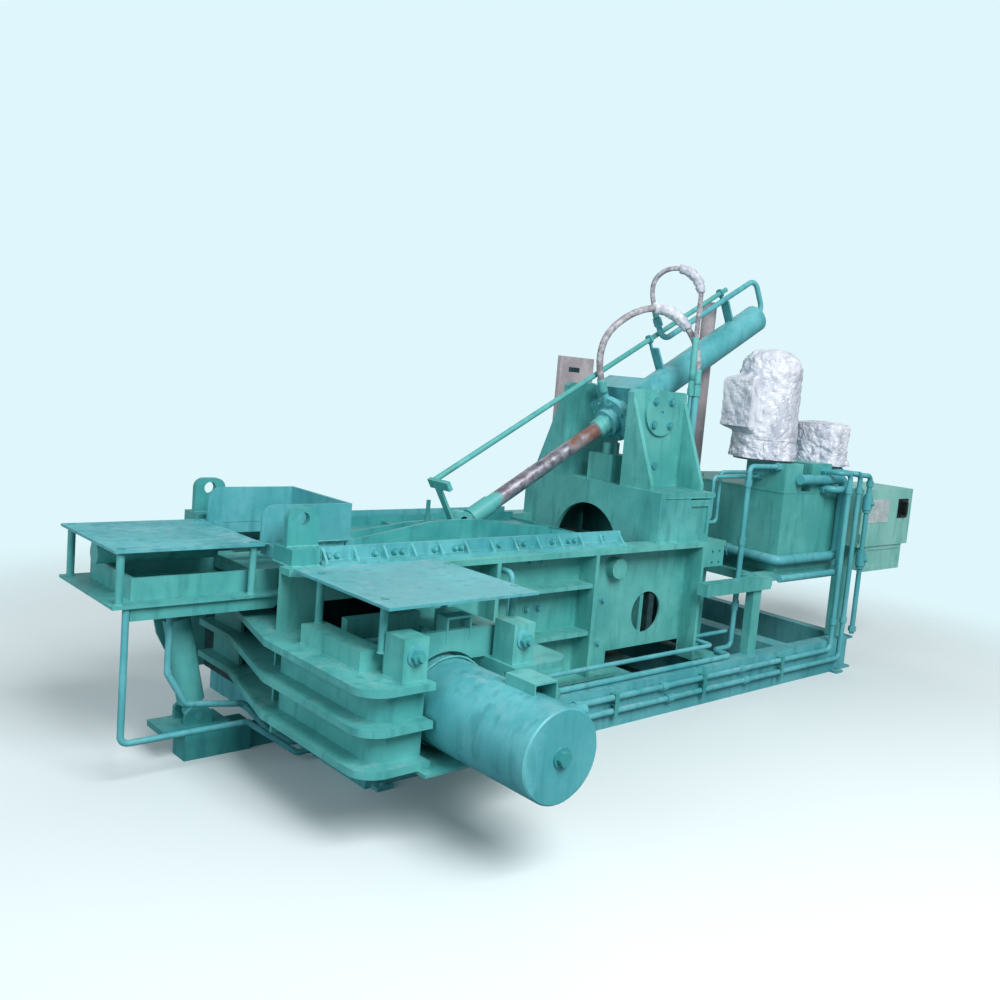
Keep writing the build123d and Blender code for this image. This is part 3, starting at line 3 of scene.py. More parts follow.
import bpy
import bmesh
from mathutils import Matrix, Vector, noise


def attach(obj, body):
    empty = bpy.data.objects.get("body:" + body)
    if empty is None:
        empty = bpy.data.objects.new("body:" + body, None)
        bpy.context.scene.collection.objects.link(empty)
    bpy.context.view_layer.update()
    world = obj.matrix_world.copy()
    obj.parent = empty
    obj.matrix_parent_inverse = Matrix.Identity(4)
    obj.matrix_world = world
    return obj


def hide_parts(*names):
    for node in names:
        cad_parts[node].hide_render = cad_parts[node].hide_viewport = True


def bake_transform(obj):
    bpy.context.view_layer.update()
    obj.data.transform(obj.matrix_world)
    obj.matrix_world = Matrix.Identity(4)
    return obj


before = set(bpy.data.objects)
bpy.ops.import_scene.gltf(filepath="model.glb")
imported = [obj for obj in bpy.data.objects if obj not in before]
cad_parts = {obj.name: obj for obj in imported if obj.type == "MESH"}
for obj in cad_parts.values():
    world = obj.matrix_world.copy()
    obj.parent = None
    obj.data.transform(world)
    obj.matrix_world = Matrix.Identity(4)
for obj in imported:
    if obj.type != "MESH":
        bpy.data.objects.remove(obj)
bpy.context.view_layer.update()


# The camera stands near the machine's left corner, a little above a worker's eyes, and looks
# along the side ram towards the tower. Its lens and tilt are the photograph's.
camera_data = bpy.data.cameras.new("camera")
camera_data.sensor_width = 36.0
camera_data.lens = 36.04
camera_data.shift_x = -0.1037
camera_data.shift_y = -0.0119
camera_data.clip_end = 100.0
camera = bpy.data.objects.new("camera", camera_data)
camera.location = (-2.068, -3.760, 1.600)
camera.rotation_euler = [math.radians(a) for a in (83.832, -5.447, -44.791)]
bpy.context.scene.collection.objects.link(camera)
bpy.context.scene.camera = camera
bpy.context.scene.view_settings.view_transform = "Standard"


# The studio: a pale floor that fades into a pale sky a few metres out, and three large lamps. The
# colours are written as sRGB hex, as on a paint card, and turned linear by one function.
def srgb(text):
    parts = [int(text[i:i + 2], 16) / 255 for i in (1, 3, 5)]
    return tuple(p / 12.92 if p <= 0.04045 else ((p + 0.055) / 1.055) ** 2.4 for p in parts) + (1.0,)


def add(tree, kind, links=None, **settings):
    """Adds one node with its settings. links gives each input a value or another node's socket."""
    node = tree.nodes.new(kind)
    for key, value in settings.items():
        setattr(node, key, value)
    for key, value in (links or {}).items():
        socket = node.inputs[key]
        if isinstance(value, bpy.types.NodeSocket):
            tree.links.new(value, socket)
        else:
            socket.default_value = value
    return node


def blank(name):
    material = bpy.data.materials.new(name)
    material.use_nodes = True
    material.node_tree.nodes.clear()
    return material, material.node_tree


def surface(tree, socket):
    add(tree, "ShaderNodeOutputMaterial", {"Surface": socket})


def ramp(tree, value, low, high, to_low=0.0, to_high=1.0):
    """Maps value from low..high to to_low..to_high, with soft ends."""
    limits = {"Value": value, "From Min": low, "From Max": high, "To Min": to_low, "To Max": to_high}
    return add(tree, "ShaderNodeMapRange", limits, interpolation_type="SMOOTHSTEP").outputs[0]


def blend(tree, share, first, second):
    """Mixes two colours, each a hex text or a socket."""
    ends = [srgb(c) if isinstance(c, str) else c for c in (first, second)]
    return add(tree, "ShaderNodeMix", {0: share, 6: ends[0], 7: ends[1]}, data_type="RGBA").outputs[2]


fade_starts, fade_ends = 2.6, 4.6
lamp_aim = Vector((1.2, 0.0, 0.6))

floor_paint, tree = blank("floor_matt")
place = add(tree, "ShaderNodeTexCoord").outputs["Object"]
reach = add(tree, "ShaderNodeVectorMath", {0: place}, operation="LENGTH").outputs["Value"]
path = add(tree, "ShaderNodeLightPath")
seen = blend(tree, path.outputs["Is Camera Ray"], "#6F8086", "#E9F3F5")
matt = add(tree, "ShaderNodeBsdfPrincipled", {"Base Color": seen, "Roughness": 0.95})
clear = add(tree, "ShaderNodeBsdfTransparent")
fade = ramp(tree, reach, fade_starts, fade_ends)
faded = add(tree, "ShaderNodeMixShader", {0: fade, 1: matt.outputs[0], 2: clear.outputs[0]})
surface(tree, faded.outputs[0])
bpy.ops.mesh.primitive_plane_add(size=10, location=(1.5, 0, 0))
floor = bpy.context.object
floor.name = "floor"
floor.data.materials.append(floor_paint)

world = bpy.data.worlds.new("sky")
bpy.context.scene.world = world
world.use_nodes = True
tree = world.node_tree
tree.nodes.clear()
path = add(tree, "ShaderNodeLightPath")
lighting = add(tree, "ShaderNodeBackground", {"Color": srgb("#EEF7FA"), "Strength": 0.36})
backdrop = add(tree, "ShaderNodeBackground", {"Color": srgb("#DFF7FC"), "Strength": 1.0})
mixed = add(tree, "ShaderNodeMixShader", {0: path.outputs["Is Camera Ray"], 1: lighting.outputs[0],
                                          2: backdrop.outputs[0]})
add(tree, "ShaderNodeOutputWorld", {"Surface": mixed.outputs[0]})

lamps = (
    ("key_lamp", (-0.6, -6.4, 6.2), 4.0, 650, "#FFFFFF"),
    ("fill_lamp", (-6.5, -1.5, 3.2), 4.0, 150, "#EAF8FF"),
    ("back_lamp", (6.0, 5.0, 6.0), 5.0, 110, "#FFFFFF"),
)
for name, place, size, power, colour in lamps:
    lamp_data = bpy.data.lights.new(name, "AREA")
    lamp_data.size = size
    lamp_data.energy = power
    lamp_data.color = srgb(colour)[:3]
    lamp = bpy.data.objects.new(name, lamp_data)
    lamp.location = place
    lamp.rotation_euler = (lamp_aim - Vector(place)).to_track_quat("-Z", "Y").to_euler()
    bpy.context.scene.collection.objects.link(lamp)


# Enamel brushed and sprayed on mill-scale steel: teal, half gloss, cloudy where it was thinned, with
# faint brush streaks, scuffs, and grey dust and smears lying on what faces up. The pale dust on the
# tops is also a painted highlight, standing in for the light falling on them.
def teal_enamel(name, tones, dust_and_glare, gloss=0.34):
    material, tree = blank(name)
    place = add(tree, "ShaderNodeTexCoord").outputs["Object"]
    clouds = add(tree, "ShaderNodeTexNoise", {
        "Vector": place, "Scale": 2.6, "Detail": 6.0, "Roughness": 0.62})
    tone = blend(tree, ramp(tree, clouds.outputs["Fac"], 0.36, 0.66), tones[0], tones[1])
    runs = add(tree, "ShaderNodeMapping", {"Vector": place, "Scale": (14.0, 14.0, 3.0)})
    streaks = add(tree, "ShaderNodeTexNoise", {"Vector": runs.outputs[0], "Scale": 1.6, "Detail": 4.0})
    tone = blend(tree, ramp(tree, streaks.outputs["Fac"], 0.48, 0.72, 0.0, 0.55), tone, tones[2])
    specks = add(tree, "ShaderNodeTexNoise", {
        "Vector": place, "Scale": 17.0, "Detail": 9.0, "Roughness": 0.75})
    patch = ramp(tree, specks.outputs["Fac"], 0.45, 0.66)
    normal = add(tree, "ShaderNodeNewGeometry").outputs["Normal"]
    facing = add(tree, "ShaderNodeSeparateXYZ", {"Vector": normal})
    upward = ramp(tree, facing.outputs["Z"], 0.4, 0.95, 0.10, 1.0)
    broad = add(tree, "ShaderNodeTexNoise", {"Vector": place, "Scale": 4.5, "Detail": 3.0, "Roughness": 0.5})
    where = ramp(tree, broad.outputs["Fac"], 0.38, 0.62, 0.15, 1.0)
    # Pale dust on what faces up; the same mark is a painted highlight on the tops.
    dust_and_glare_mask = add(tree, "ShaderNodeMath", {0: patch, 1: upward}, operation="MULTIPLY").outputs[0]
    dust_and_glare_mask = add(tree, "ShaderNodeMath", {0: dust_and_glare_mask, 1: where}, operation="MULTIPLY").outputs[0]
    dust_and_glare_mask = add(tree, "ShaderNodeMath", {0: dust_and_glare_mask, 1: dust_and_glare}, operation="MULTIPLY").outputs[0]
    tone = blend(tree, dust_and_glare_mask, tone, "#A4BFC3")
    scratch = add(tree, "ShaderNodeTexNoise", {
        "Vector": place, "Scale": 60.0, "Detail": 3.0, "Roughness": 0.8})
    nick = ramp(tree, scratch.outputs["Fac"], 0.735, 0.775, 0.0, 0.6)
    tone = blend(tree, nick, tone, "#2B5B5A")
    sheen = ramp(tree, clouds.outputs["Fac"], 0.3, 0.7, gloss, gloss + 0.2)
    dulled = add(tree, "ShaderNodeMath", {0: sheen, 1: dust_and_glare_mask}, operation="ADD").outputs[0]
    peel = add(tree, "ShaderNodeTexNoise", {"Vector": place, "Scale": 55.0, "Detail": 3.0})
    relief = add(tree, "ShaderNodeBump", {"Height": peel.outputs["Fac"], "Strength": 0.22, "Distance": 0.003})
    look = add(tree, "ShaderNodeBsdfPrincipled", {"Base Color": tone, "Roughness": dulled,
                                                  "Normal": relief.outputs[0]})
    surface(tree, look.outputs["BSDF"])
    return material


enamel = teal_enamel("teal_enamel", ("#4AA3A1", "#62BAB7", "#37898B"), 0.35)
enamel_pale = teal_enamel("teal_enamel_chalky", ("#7CC2BA", "#93D0C8", "#60AEA8"), 0.30, 0.42)
# This coat has the most dust, and with it the most painted highlight on its tops.
enamel_blue = teal_enamel("teal_enamel_dust_and_highlight", ("#4AA3AB", "#66BAC2", "#378A93"), 0.55, 0.38)
# A darker copy of the enamel: painted shade for parts that stand in shade, such as the ears and the lid.
enamel_shaded = teal_enamel("teal_enamel_painted_shade", ("#399396", "#4FACAA", "#2A7C81"), 0.30, 0.26)
enamel_green = teal_enamel("teal_enamel_green", ("#4CA6A2", "#67BDB8", "#38908E"), 0.30, 0.36)
coats = {
    enamel_green: ("wall_near", "wall_far", "pack_stand", "trunnion_covers", "tower_near", "clamp_blocks",
                   "tank", "valve_blocks"),
    enamel_pale: ("cabinet", "cabinet_door", "cabinet_frame"),
    enamel_blue: ("near_deck", "left_deck", "side_cylinder", "base_frame", "shear_strips", "outlet_guide",
                  "oil_pipes", "barrel_pipe", "lid_barrel"),
    enamel_shaded: ("lifting_ears", "lid", "frame_bolts", "side_plug", "pipe_clips", "ejector_foot"),
}
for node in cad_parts.values():
    node.data.materials.clear()
    node.data.materials.append(enamel)
for coat, names in coats.items():
    for name in names:
        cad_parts[name].data.materials[0] = coat


# Bare steel rods. The lid cylinder's rod is mottled and dull, rusty where it has stood out of the
# gland, and has teal overspray next to the gland and on the clamped end. Places along it are
# measured from the trunnion, down the cylinder's axis.
trunnion = Vector((1.855, 0.0, 1.457))
axis_back = Vector((0.868403, 0.0, 0.495861))


def steel(name, banded):
    """A rod's steel. banded adds the rust and the overspray, placed along the lid cylinder's axis."""
    material, tree = blank(name)
    place = add(tree, "ShaderNodeTexCoord").outputs["Object"]
    mottle = add(tree, "ShaderNodeTexNoise", {
        "Vector": place, "Scale": 26.0, "Detail": 6.0, "Roughness": 0.7})
    tone = blend(tree, ramp(tree, mottle.outputs["Fac"], 0.38, 0.62), "#827F8B", "#B4B6C2")
    tint = add(tree, "ShaderNodeTexNoise", {"Vector": place, "Scale": 9.0, "Detail": 4.0})
    tone = blend(tree, ramp(tree, tint.outputs["Fac"], 0.5, 0.7, 0.0, 0.55), tone, "#A58F93")
    metal = 0.75
    if banded:
        shifted = add(tree, "ShaderNodeVectorMath", {0: place, 1: trunnion}, operation="SUBTRACT")
        along = add(tree, "ShaderNodeVectorMath", {0: shifted.outputs[0], 1: -axis_back},
                    operation="DOT_PRODUCT").outputs["Value"]
        wander = add(tree, "ShaderNodeMath", {0: tint.outputs["Fac"], 1: 0.40, 2: -0.20},
                     operation="MULTIPLY_ADD").outputs[0]
        along = add(tree, "ShaderNodeMath", {0: along, 1: wander}, operation="ADD").outputs[0]
        rust_starts, rust_ends = ramp(tree, along, 0.27, 0.31), ramp(tree, along, 0.43, 0.34)
        rust = add(tree, "ShaderNodeMath", {0: rust_starts, 1: rust_ends}, operation="MULTIPLY").outputs[0]
        tone = blend(tree, rust, tone, "#7C5A52")
        at_gland, at_clamp = ramp(tree, along, 0.29, 0.24), ramp(tree, along, 0.96, 1.04)
        spray = add(tree, "ShaderNodeMath", {0: at_gland, 1: at_clamp}, operation="MAXIMUM").outputs[0]
        tone = blend(tree, spray, tone, "#58B0AE")
        bare = add(tree, "ShaderNodeMath", {0: rust, 1: spray}, operation="MAXIMUM").outputs[0]
        metal = add(tree, "ShaderNodeMath", {0: metal, 1: bare}, operation="SUBTRACT",
                    use_clamp=True).outputs[0]
    rough = ramp(tree, mottle.outputs["Fac"], 0.3, 0.7, 0.30, 0.50)
    relief = add(tree, "ShaderNodeBump", {
        "Height": mottle.outputs["Fac"], "Strength": 0.15, "Distance": 0.002})
    look = add(tree, "ShaderNodeBsdfPrincipled", {"Base Color": tone, "Metallic": metal, "Roughness": rough,
                                                  "Normal": relief.outputs[0]})
    surface(tree, look.outputs["BSDF"])
    return material


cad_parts["lid_rod"].data.materials[0] = steel("rod_steel_weathered", True)
rod_steel = steel("rod_steel", False)
for name in ("side_rod", "main_rod", "gate_rod", "ejector_rod", "lid_hinge_pins", "lid_pin"):
    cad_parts[name].data.materials[0] = rod_steel


# The plate behind the tower and the riser on the tank are in a chalky pinkish grey, the switch is
# black plastic, and the motors inside their film are plain grey. The main ram, its cylinder and the
# chamber are painted dark, a painted shade for how the openings look in shade.
def plain(name, colour, second, scale, rough, bumpy=0.1, metal=0.0):
    material, tree = blank(name)
    place = add(tree, "ShaderNodeTexCoord").outputs["Object"]
    grain = add(tree, "ShaderNodeTexNoise", {
        "Vector": place, "Scale": scale, "Detail": 6.0, "Roughness": 0.65})
    tone = blend(tree, ramp(tree, grain.outputs["Fac"], 0.38, 0.64), colour, second)
    relief = add(tree, "ShaderNodeBump", {
        "Height": grain.outputs["Fac"], "Strength": bumpy, "Distance": 0.003})
    look = add(tree, "ShaderNodeBsdfPrincipled", {"Base Color": tone, "Metallic": metal, "Roughness": rough,
                                                  "Normal": relief.outputs[0]})
    surface(tree, look.outputs["BSDF"])
    return material


chalk = plain("chalky_grey_paint", "#A79DA3", "#C6BDC1", 7.0, 0.7)
black = plain("black_plastic", "#0C1416", "#142022", 30.0, 0.35)
painted_shade_dark = plain("painted_shade_dark", "#1B3336", "#27484A", 30.0, 0.55)
grey_paint = plain("motor_paint", "#7C8488", "#8C9498", 12.0, 0.45)
for name in ("main_cylinder", "main_ram", "bale_chamber"):
    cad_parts[name].data.materials[0] = painted_shade_dark
for name in ("far_box", "riser"):
    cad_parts[name].data.materials[0] = chalk
for name in ("motor_1", "motor_2"):
    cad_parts[name].data.materials[0] = grey_paint
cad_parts["rotary_switch"].data.materials[0] = black


# The two hoses from the tower pipes to the lid cylinder, of rubber in a dusty wrap. Each follows its
# route's smooth line as a lumpy tube.
def piece(name, bm, material, body, smooth=False):
    """Turns a bmesh into a piece that rides on one body."""
    bmesh.ops.recalc_face_normals(bm, faces=bm.faces)
    mesh = bpy.data.meshes.new(name)
    bm.to_mesh(mesh)
    bm.free()
    mesh.materials.append(material)
    if smooth:
        mesh.shade_smooth()
    thing = bpy.data.objects.new(name, mesh)
    bpy.context.scene.collection.objects.link(thing)
    if body:
        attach(thing, body)
    return thing


def route_line(name, points):
    """Reads the points along a NURBS line whose control points are the route's."""
    curve = bpy.data.curves.new(name, "CURVE")
    curve.dimensions = "3D"
    curve.resolution_u = 14
    spline = curve.splines.new("NURBS")
    spline.points.add(len(points) - 1)
    for spot, p in zip(spline.points, points):
        spot.co = (*p, 1.0)
    spline.order_u = 3
    spline.use_endpoint_u = True
    holder = bpy.data.objects.new(name, curve)
    bpy.context.scene.collection.objects.link(holder)
    mesh = bpy.data.meshes.new_from_object(holder.evaluated_get(bpy.context.evaluated_depsgraph_get()))
    line = [v.co.copy() for v in mesh.vertices]
    bpy.data.objects.remove(holder)
    bpy.data.meshes.remove(mesh)
    return line


def tube(bm, line, radius_at, sides=20):
    """Adds a closed tube along a line. radius_at gives the radius at a point index and angle."""
    up = Vector((0.0, 0.0, 1.0))
    rings = []
    for i, p in enumerate(line):
        ahead = (line[min(i + 1, len(line) - 1)] - line[max(i - 1, 0)]).normalized()
        side = ahead.cross(up if not rings else side_before.cross(ahead)).normalized()
        if rings and side.dot(side_before) < 0:
            side = -side
        other = ahead.cross(side)
        side_before = side
        ring = []
        for k in range(sides):
            angle = 2 * math.pi * k / sides
            outward = side * math.cos(angle) + other * math.sin(angle)
            ring.append(bm.verts.new(p + outward * radius_at(i, angle)))
        rings.append(ring)
    for a, b in zip(rings, rings[1:]):
        for k in range(sides):
            bm.faces.new((a[k], a[(k + 1) % sides], b[(k + 1) % sides], b[k]))
    bm.faces.new(list(reversed(rings[0])))
    bm.faces.new(rings[-1])


hose_rubber, tree = blank("hose_in_dusty_wrap")
place = add(tree, "ShaderNodeTexCoord").outputs["Object"]
mottle = add(tree, "ShaderNodeTexNoise", {"Vector": place, "Scale": 30.0, "Detail": 7.0, "Roughness": 0.7})
tone = blend(tree, ramp(tree, mottle.outputs["Fac"], 0.36, 0.64), "#7F7C84", "#C6C5CC")
tint = add(tree, "ShaderNodeTexNoise", {"Vector": place, "Scale": 11.0, "Detail": 3.0})
tone = blend(tree, ramp(tree, tint.outputs["Fac"], 0.5, 0.68, 0.0, 0.6), tone, "#8C7D80")
relief = add(tree, "ShaderNodeBump", {"Height": mottle.outputs["Fac"], "Strength": 0.4, "Distance": 0.003})
look = add(tree, "ShaderNodeBsdfPrincipled", {
    "Base Color": tone, "Roughness": 0.5, "Normal": relief.outputs[0]})
surface(tree, look.outputs["BSDF"])

hose_runs = (
    ("gland_hose", "hose_gland", 0.018, 1.200, (
        (1.6784, 0.0, 1.534), (1.614, 0.0, 1.6468), (1.630, -0.005, 1.830), (1.755, -0.050, 1.955),
        (1.907, -0.090, 2.014), (2.045, -0.135, 1.985), (2.130, -0.200, 1.870), (2.136, -0.240, 1.740),
        (2.136, -0.240, 1.620))),
    ("barrel_hose", "hose_barrel", 0.013, 1.029, (
        (2.027, 0.0, 1.963), (1.971, 0.0, 2.061), (1.958, -0.014, 2.168), (1.990, -0.096, 2.232),
        (2.052, -0.190, 2.222), (2.093, -0.247, 2.138), (2.092, -0.240, 2.010), (2.092, -0.240, 1.6405))),
)
hose_lines = {}
for name, node, radius, length, points in hose_runs:
    line = route_line(name + "_line", points)
    hose_lines[name] = line
    bm = bmesh.new()
    tube(bm, line, lambda i, a: radius * (1 + 0.035 * noise.noise(Vector((i * 0.35, a * 1.2, radius * 90)))))
    hose = piece(name, bm, hose_rubber, None, smooth=True)
    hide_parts(node)
    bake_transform(hose)


# The hoses' ends: teal painted unions with a hexagon on the two tower pipes, and a lumpy painted
# ferrule at each end of both hoses.
def round_bar(bm, start, end, radius, sides=20):
    """Adds a closed round or many-sided bar between two points."""
    start, end = Vector(start), Vector(end)
    turn = (end - start).to_track_quat("Z", "Y").to_matrix().to_4x4()
    spot = Matrix.Translation((start + end) / 2) @ turn
    bmesh.ops.create_cone(bm, cap_ends=True, segments=sides, radius1=radius, radius2=radius,
                          depth=(end - start).length, matrix=spot)


bm = bmesh.new()
tower_pipes_y = -0.240
hexagon_foot, hexagon_top = 1.560, 1.600
for x, thick, hose_foot in ((2.136, 0.024, 1.6205), (2.092, 0.016, 1.640)):
    round_bar(bm, (x, tower_pipes_y, hexagon_foot), (x, tower_pipes_y, hexagon_top), thick * 1.25, 6)
    round_bar(bm, (x, tower_pipes_y, hexagon_top), (x, tower_pipes_y, hose_foot), thick)
piece("hose_unions", bm, enamel, "frame")

ferrule_wall = 0.0045
for name, _, radius, _, points in hose_runs:
    line = hose_lines[name]
    outer = radius + ferrule_wall
    bm = bmesh.new()
    for part in (line[-7:], line[:6]):
        tube(bm, part, lambda i, a: outer * (
            1 + 0.10 * noise.noise(Vector((i * 0.9, a * 1.6, radius * 380)))), sides=16)
    collars = piece(name + "_ferrules", bm, enamel, None, smooth=True)
    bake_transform(collars)


# A lumpy wrap round the lid cylinder's gland, where the rod comes out, painted over in teal. It
# rides on the cylinder and turns with it.
wrap_starts, wrap_step, wrap_radius = 0.146, 0.009, 0.0445


def gland_radius(i, angle):
    lump = noise.noise(Vector((i * 0.5, math.cos(angle) * 2.0, math.sin(angle) * 2.0)))
    return wrap_radius + 0.006 * abs(math.sin(i * 0.9)) + 0.012 * abs(lump)


bm = bmesh.new()
collar = [trunnion - axis_back * (wrap_starts + wrap_step * i) for i in range(12)]
tube(bm, collar, gland_radius, sides=28)
piece("gland_wrap", bm, enamel, "lid_cylinder", smooth=True)


# A sleeve of creased plastic film round each hose on its way down to the tower pipes, with painted
# highlights along its folds and painted shade in their hollows.
def crumple(bm, amount, fine, seed):
    """Pushes each point out or in along its normal in sharp folds, as creased film lies."""
    bm.normal_update()
    moves = []
    for v in bm.verts:
        p = v.co + Vector((seed, seed * 0.7, 0.0))
        fold = abs(noise.noise(p * fine)) * 1.5 + abs(noise.noise(p * fine * 2.3)) * 0.7 - 0.55
        moves.append((v, v.normal * fold * amount))
    for v, move in moves:
        v.co += move


film, tree = blank("creased_film")
place = add(tree, "ShaderNodeTexCoord").outputs["Object"]
pulled = add(tree, "ShaderNodeMapping", {
    "Vector": place, "Rotation": (0.5, 0.6, 0.0), "Scale": (1.0, 1.0, 0.3)})
creases = add(tree, "ShaderNodeTexNoise", {"Vector": pulled.outputs[0], "Scale": 22.0, "Detail": 8.0,
                                           "Roughness": 0.62, "Distortion": 1.6})
veils = add(tree, "ShaderNodeTexNoise", {
    "Vector": pulled.outputs[0], "Scale": 7.0, "Detail": 4.0, "Distortion": 1.2})
tone = blend(tree, ramp(tree, veils.outputs["Fac"], 0.38, 0.62), "#BFC4D2", "#E2E5EE")
# The creases' ridges get a painted highlight and their hollows painted shade.
tone = blend(tree, ramp(tree, creases.outputs["Fac"], 0.52, 0.70, 0.0, 0.8), tone, "#F2F4FA")
tone = blend(tree, ramp(tree, creases.outputs["Fac"], 0.44, 0.32, 0.0, 0.5), tone, "#8B93A2")
relief = add(tree, "ShaderNodeBump", {"Height": creases.outputs["Fac"], "Strength": 0.6, "Distance": 0.006})
look = add(tree, "ShaderNodeBsdfPrincipled", {
    "Base Color": tone, "Roughness": 0.24, "Normal": relief.outputs[0]})
surface(tree, look.outputs["BSDF"])

film_spans = {"gland_hose": (0.50, 0.74), "barrel_hose": (0.50, 0.80)}
film_puff = 0.012


def sleeve_shape(radius, last):
    """Gives a sleeve's radius at a point and angle: narrow at both ends, full and lumpy between."""
    def radius_at(i, angle):
        fullness = 0.28 * max(0.0, math.sin(math.pi * i / last)) ** 0.4
        lump = 0.42 * abs(noise.noise(Vector((i * 0.45, angle * 1.1, radius))))
        return (radius + film_puff) * (0.72 + fullness + lump)
    return radius_at


for name, _, radius, _, points in hose_runs:
    line = hose_lines[name]
    count = len(line) - 1
    low, high = film_spans[name]
    part = line[int(low * count):int(high * count)]
    bm = bmesh.new()
    tube(bm, part, sleeve_shape(radius, len(part) - 1), sides=28)
    crumple(bm, 0.006, 30.0, 3.0)
    sleeve = piece(name + "_film", bm, film, None, smooth=True)
    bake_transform(sleeve)


# The transport film round the two motors: a tall dome over the main motor and its terminal box, a
# crumpled skirt under it, a lower wrap on the second motor, and a small one on the filler cap.
fold_sizes = ((1.0, 1.3), (0.6, 3.1), (0.3, 7.0))
skirt_height, skirt_folds = 0.11, 1.6


def wrapped(bm, centre, profile, folds, seed, box=None, sides=132):
    """Adds a film skin round an upright axis. profile lists radius and height; box pulls one side out."""
    rings = []
    steps = 14
    for (r0, z0), (r1, z1) in zip(profile, profile[1:]):
        for i in range(steps):
            rings.append((r0 + (r1 - r0) * i / steps, z0 + (z1 - z0) * i / steps))
    rings.append(profile[-1])
    rows = []
    for r, z in rings:
        row = []
        for k in range(sides):
            angle = 2 * math.pi * k / sides
            out = r
            if box:
                towards, low, high, reach, near_half, far_half = box
                ahead, aside = math.cos(angle - towards), math.sin(angle - towards)
                half = near_half if aside > 0 else far_half
                square = min(reach / max(ahead, 0.01), half / max(abs(aside), 0.01)) if ahead > 0 else 0.0
                rise = max(0.0, min(1.0, (z - low) / 0.03)) * max(0.0, min(1.0, (high - z) / 0.03))
                out += max(0.0, square - r) * rise
            spot = Vector((math.cos(angle + z * 2.0) * 2.0 + seed, math.sin(angle + z * 2.0) * 2.0, z * 9.0))
            deep = sum(share * abs(noise.noise(spot * fine)) for share, fine in fold_sizes)
            out += folds * (deep - 0.62) * (skirt_folds if z < profile[0][1] + skirt_height else 1.0)
            row.append(bm.verts.new((centre[0] + math.cos(angle) * out, centre[1] + math.sin(angle) * out,
                                     z + 0.25 * folds * (deep - 0.6))))
        rows.append(row)
    for a, b in zip(rows, rows[1:]):
        for k in range(sides):
            bm.faces.new((a[k], a[(k + 1) % sides], b[(k + 1) % sides], b[k]))
    bm.faces.new(rows[-1])


bm = bmesh.new()
wrapped(bm, (2.640, -0.360), ((0.196, 1.247), (0.188, 1.300), (0.184, 1.380), (0.180, 1.560), (0.178, 1.735),
                              (0.162, 1.800), (0.118, 1.842), (0.060, 1.860), (0.006, 1.864)), 0.014, 1.0,
        (math.radians(180), 1.385, 1.712, 0.243, 0.060, 0.140))
tall = piece("main_motor_film", bm, film, "frame")
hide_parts("motor_wraps")
bm = bmesh.new()
wrapped(bm, (3.165, -0.400), ((0.182, 1.222), (0.172, 1.270), (0.165, 1.340), (0.164, 1.430), (0.154, 1.466),
                              (0.080, 1.478), (0.008, 1.480)), 0.020, 5.0)
piece("second_motor_film", bm, film, "frame")
bm = bmesh.new()
wrapped(bm, (3.270, -0.470), ((0.046, 1.080), (0.040, 1.120), (0.030, 1.165), (0.006, 1.172)), 0.012, 9.0,
        sides=48)
piece("filler_film", bm, film, "frame")


# Small round and six-sided fittings. One tree stamps a short bar on each point of a mesh, turned to
# the point's facing and scaled by its size: washers, stud ends, gland bolts, unions, post tops.
def geometry_tree(name, inputs):
    tree = bpy.data.node_groups.new(name, "GeometryNodeTree")
    tree.interface.new_socket("Geometry", in_out="INPUT", socket_type="NodeSocketGeometry")
    for label, kind, value in inputs:
        tree.interface.new_socket(label, in_out="INPUT", socket_type=kind).default_value = value
    tree.interface.new_socket("Geometry", in_out="OUTPUT", socket_type="NodeSocketGeometry")
    return tree, tree.nodes.new("NodeGroupInput"), tree.nodes.new("NodeGroupOutput")


stamp_tree, given, result = geometry_tree("stamped_fittings", (
    ("Sides", "NodeSocketInt", 6), ("Material", "NodeSocketMaterial", None)))
facing = add(stamp_tree, "GeometryNodeInputNamedAttribute", {"Name": "facing"}, data_type="FLOAT_VECTOR")
size = add(stamp_tree, "GeometryNodeInputNamedAttribute", {"Name": "size"}, data_type="FLOAT_VECTOR")
turned = add(stamp_tree, "FunctionNodeAlignRotationToVector", {
    "Vector": facing.outputs["Attribute"]}, axis="Z")
bar = add(stamp_tree, "GeometryNodeMeshCylinder", {
    "Vertices": given.outputs["Sides"], "Radius": 1.0, "Depth": 1.0})
bar = add(stamp_tree, "GeometryNodeTransform", {
    "Geometry": bar.outputs["Mesh"], "Translation": (0.0, 0.0, 0.5)})
stamps = add(stamp_tree, "GeometryNodeInstanceOnPoints", {
    "Points": given.outputs["Geometry"], "Instance": bar.outputs["Geometry"],
    "Rotation": turned.outputs["Rotation"], "Scale": size.outputs["Attribute"]})
real = add(stamp_tree, "GeometryNodeRealizeInstances", {"Geometry": stamps.outputs["Instances"]})
coated = add(stamp_tree, "GeometryNodeSetMaterial", {"Geometry": real.outputs["Geometry"],
                                                     "Material": given.outputs["Material"]})
stamp_tree.links.new(coated.outputs["Geometry"], result.inputs["Geometry"])


def grown(name, source, tree, values, body):
    """Runs a geometry tree on a mesh or curve and keeps the result as a plain piece of one body."""
    holder = bpy.data.objects.new(name + "_source", source)
    bpy.context.scene.collection.objects.link(holder)
    modifier = holder.modifiers.new("grow", "NODES")
    modifier.node_group = tree
    for item in tree.interface.items_tree:
        if item.in_out == "INPUT" and item.name in values:
            modifier[item.identifier] = values[item.name]
    holder.update_tag()
    bpy.context.view_layer.update()
    mesh = bpy.data.meshes.new_from_object(holder.evaluated_get(bpy.context.evaluated_depsgraph_get()))
    bpy.data.objects.remove(holder)
    mesh.name = name
    thing = bpy.data.objects.new(name, mesh)
    bpy.context.scene.collection.objects.link(thing)
    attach(thing, body)
    return thing


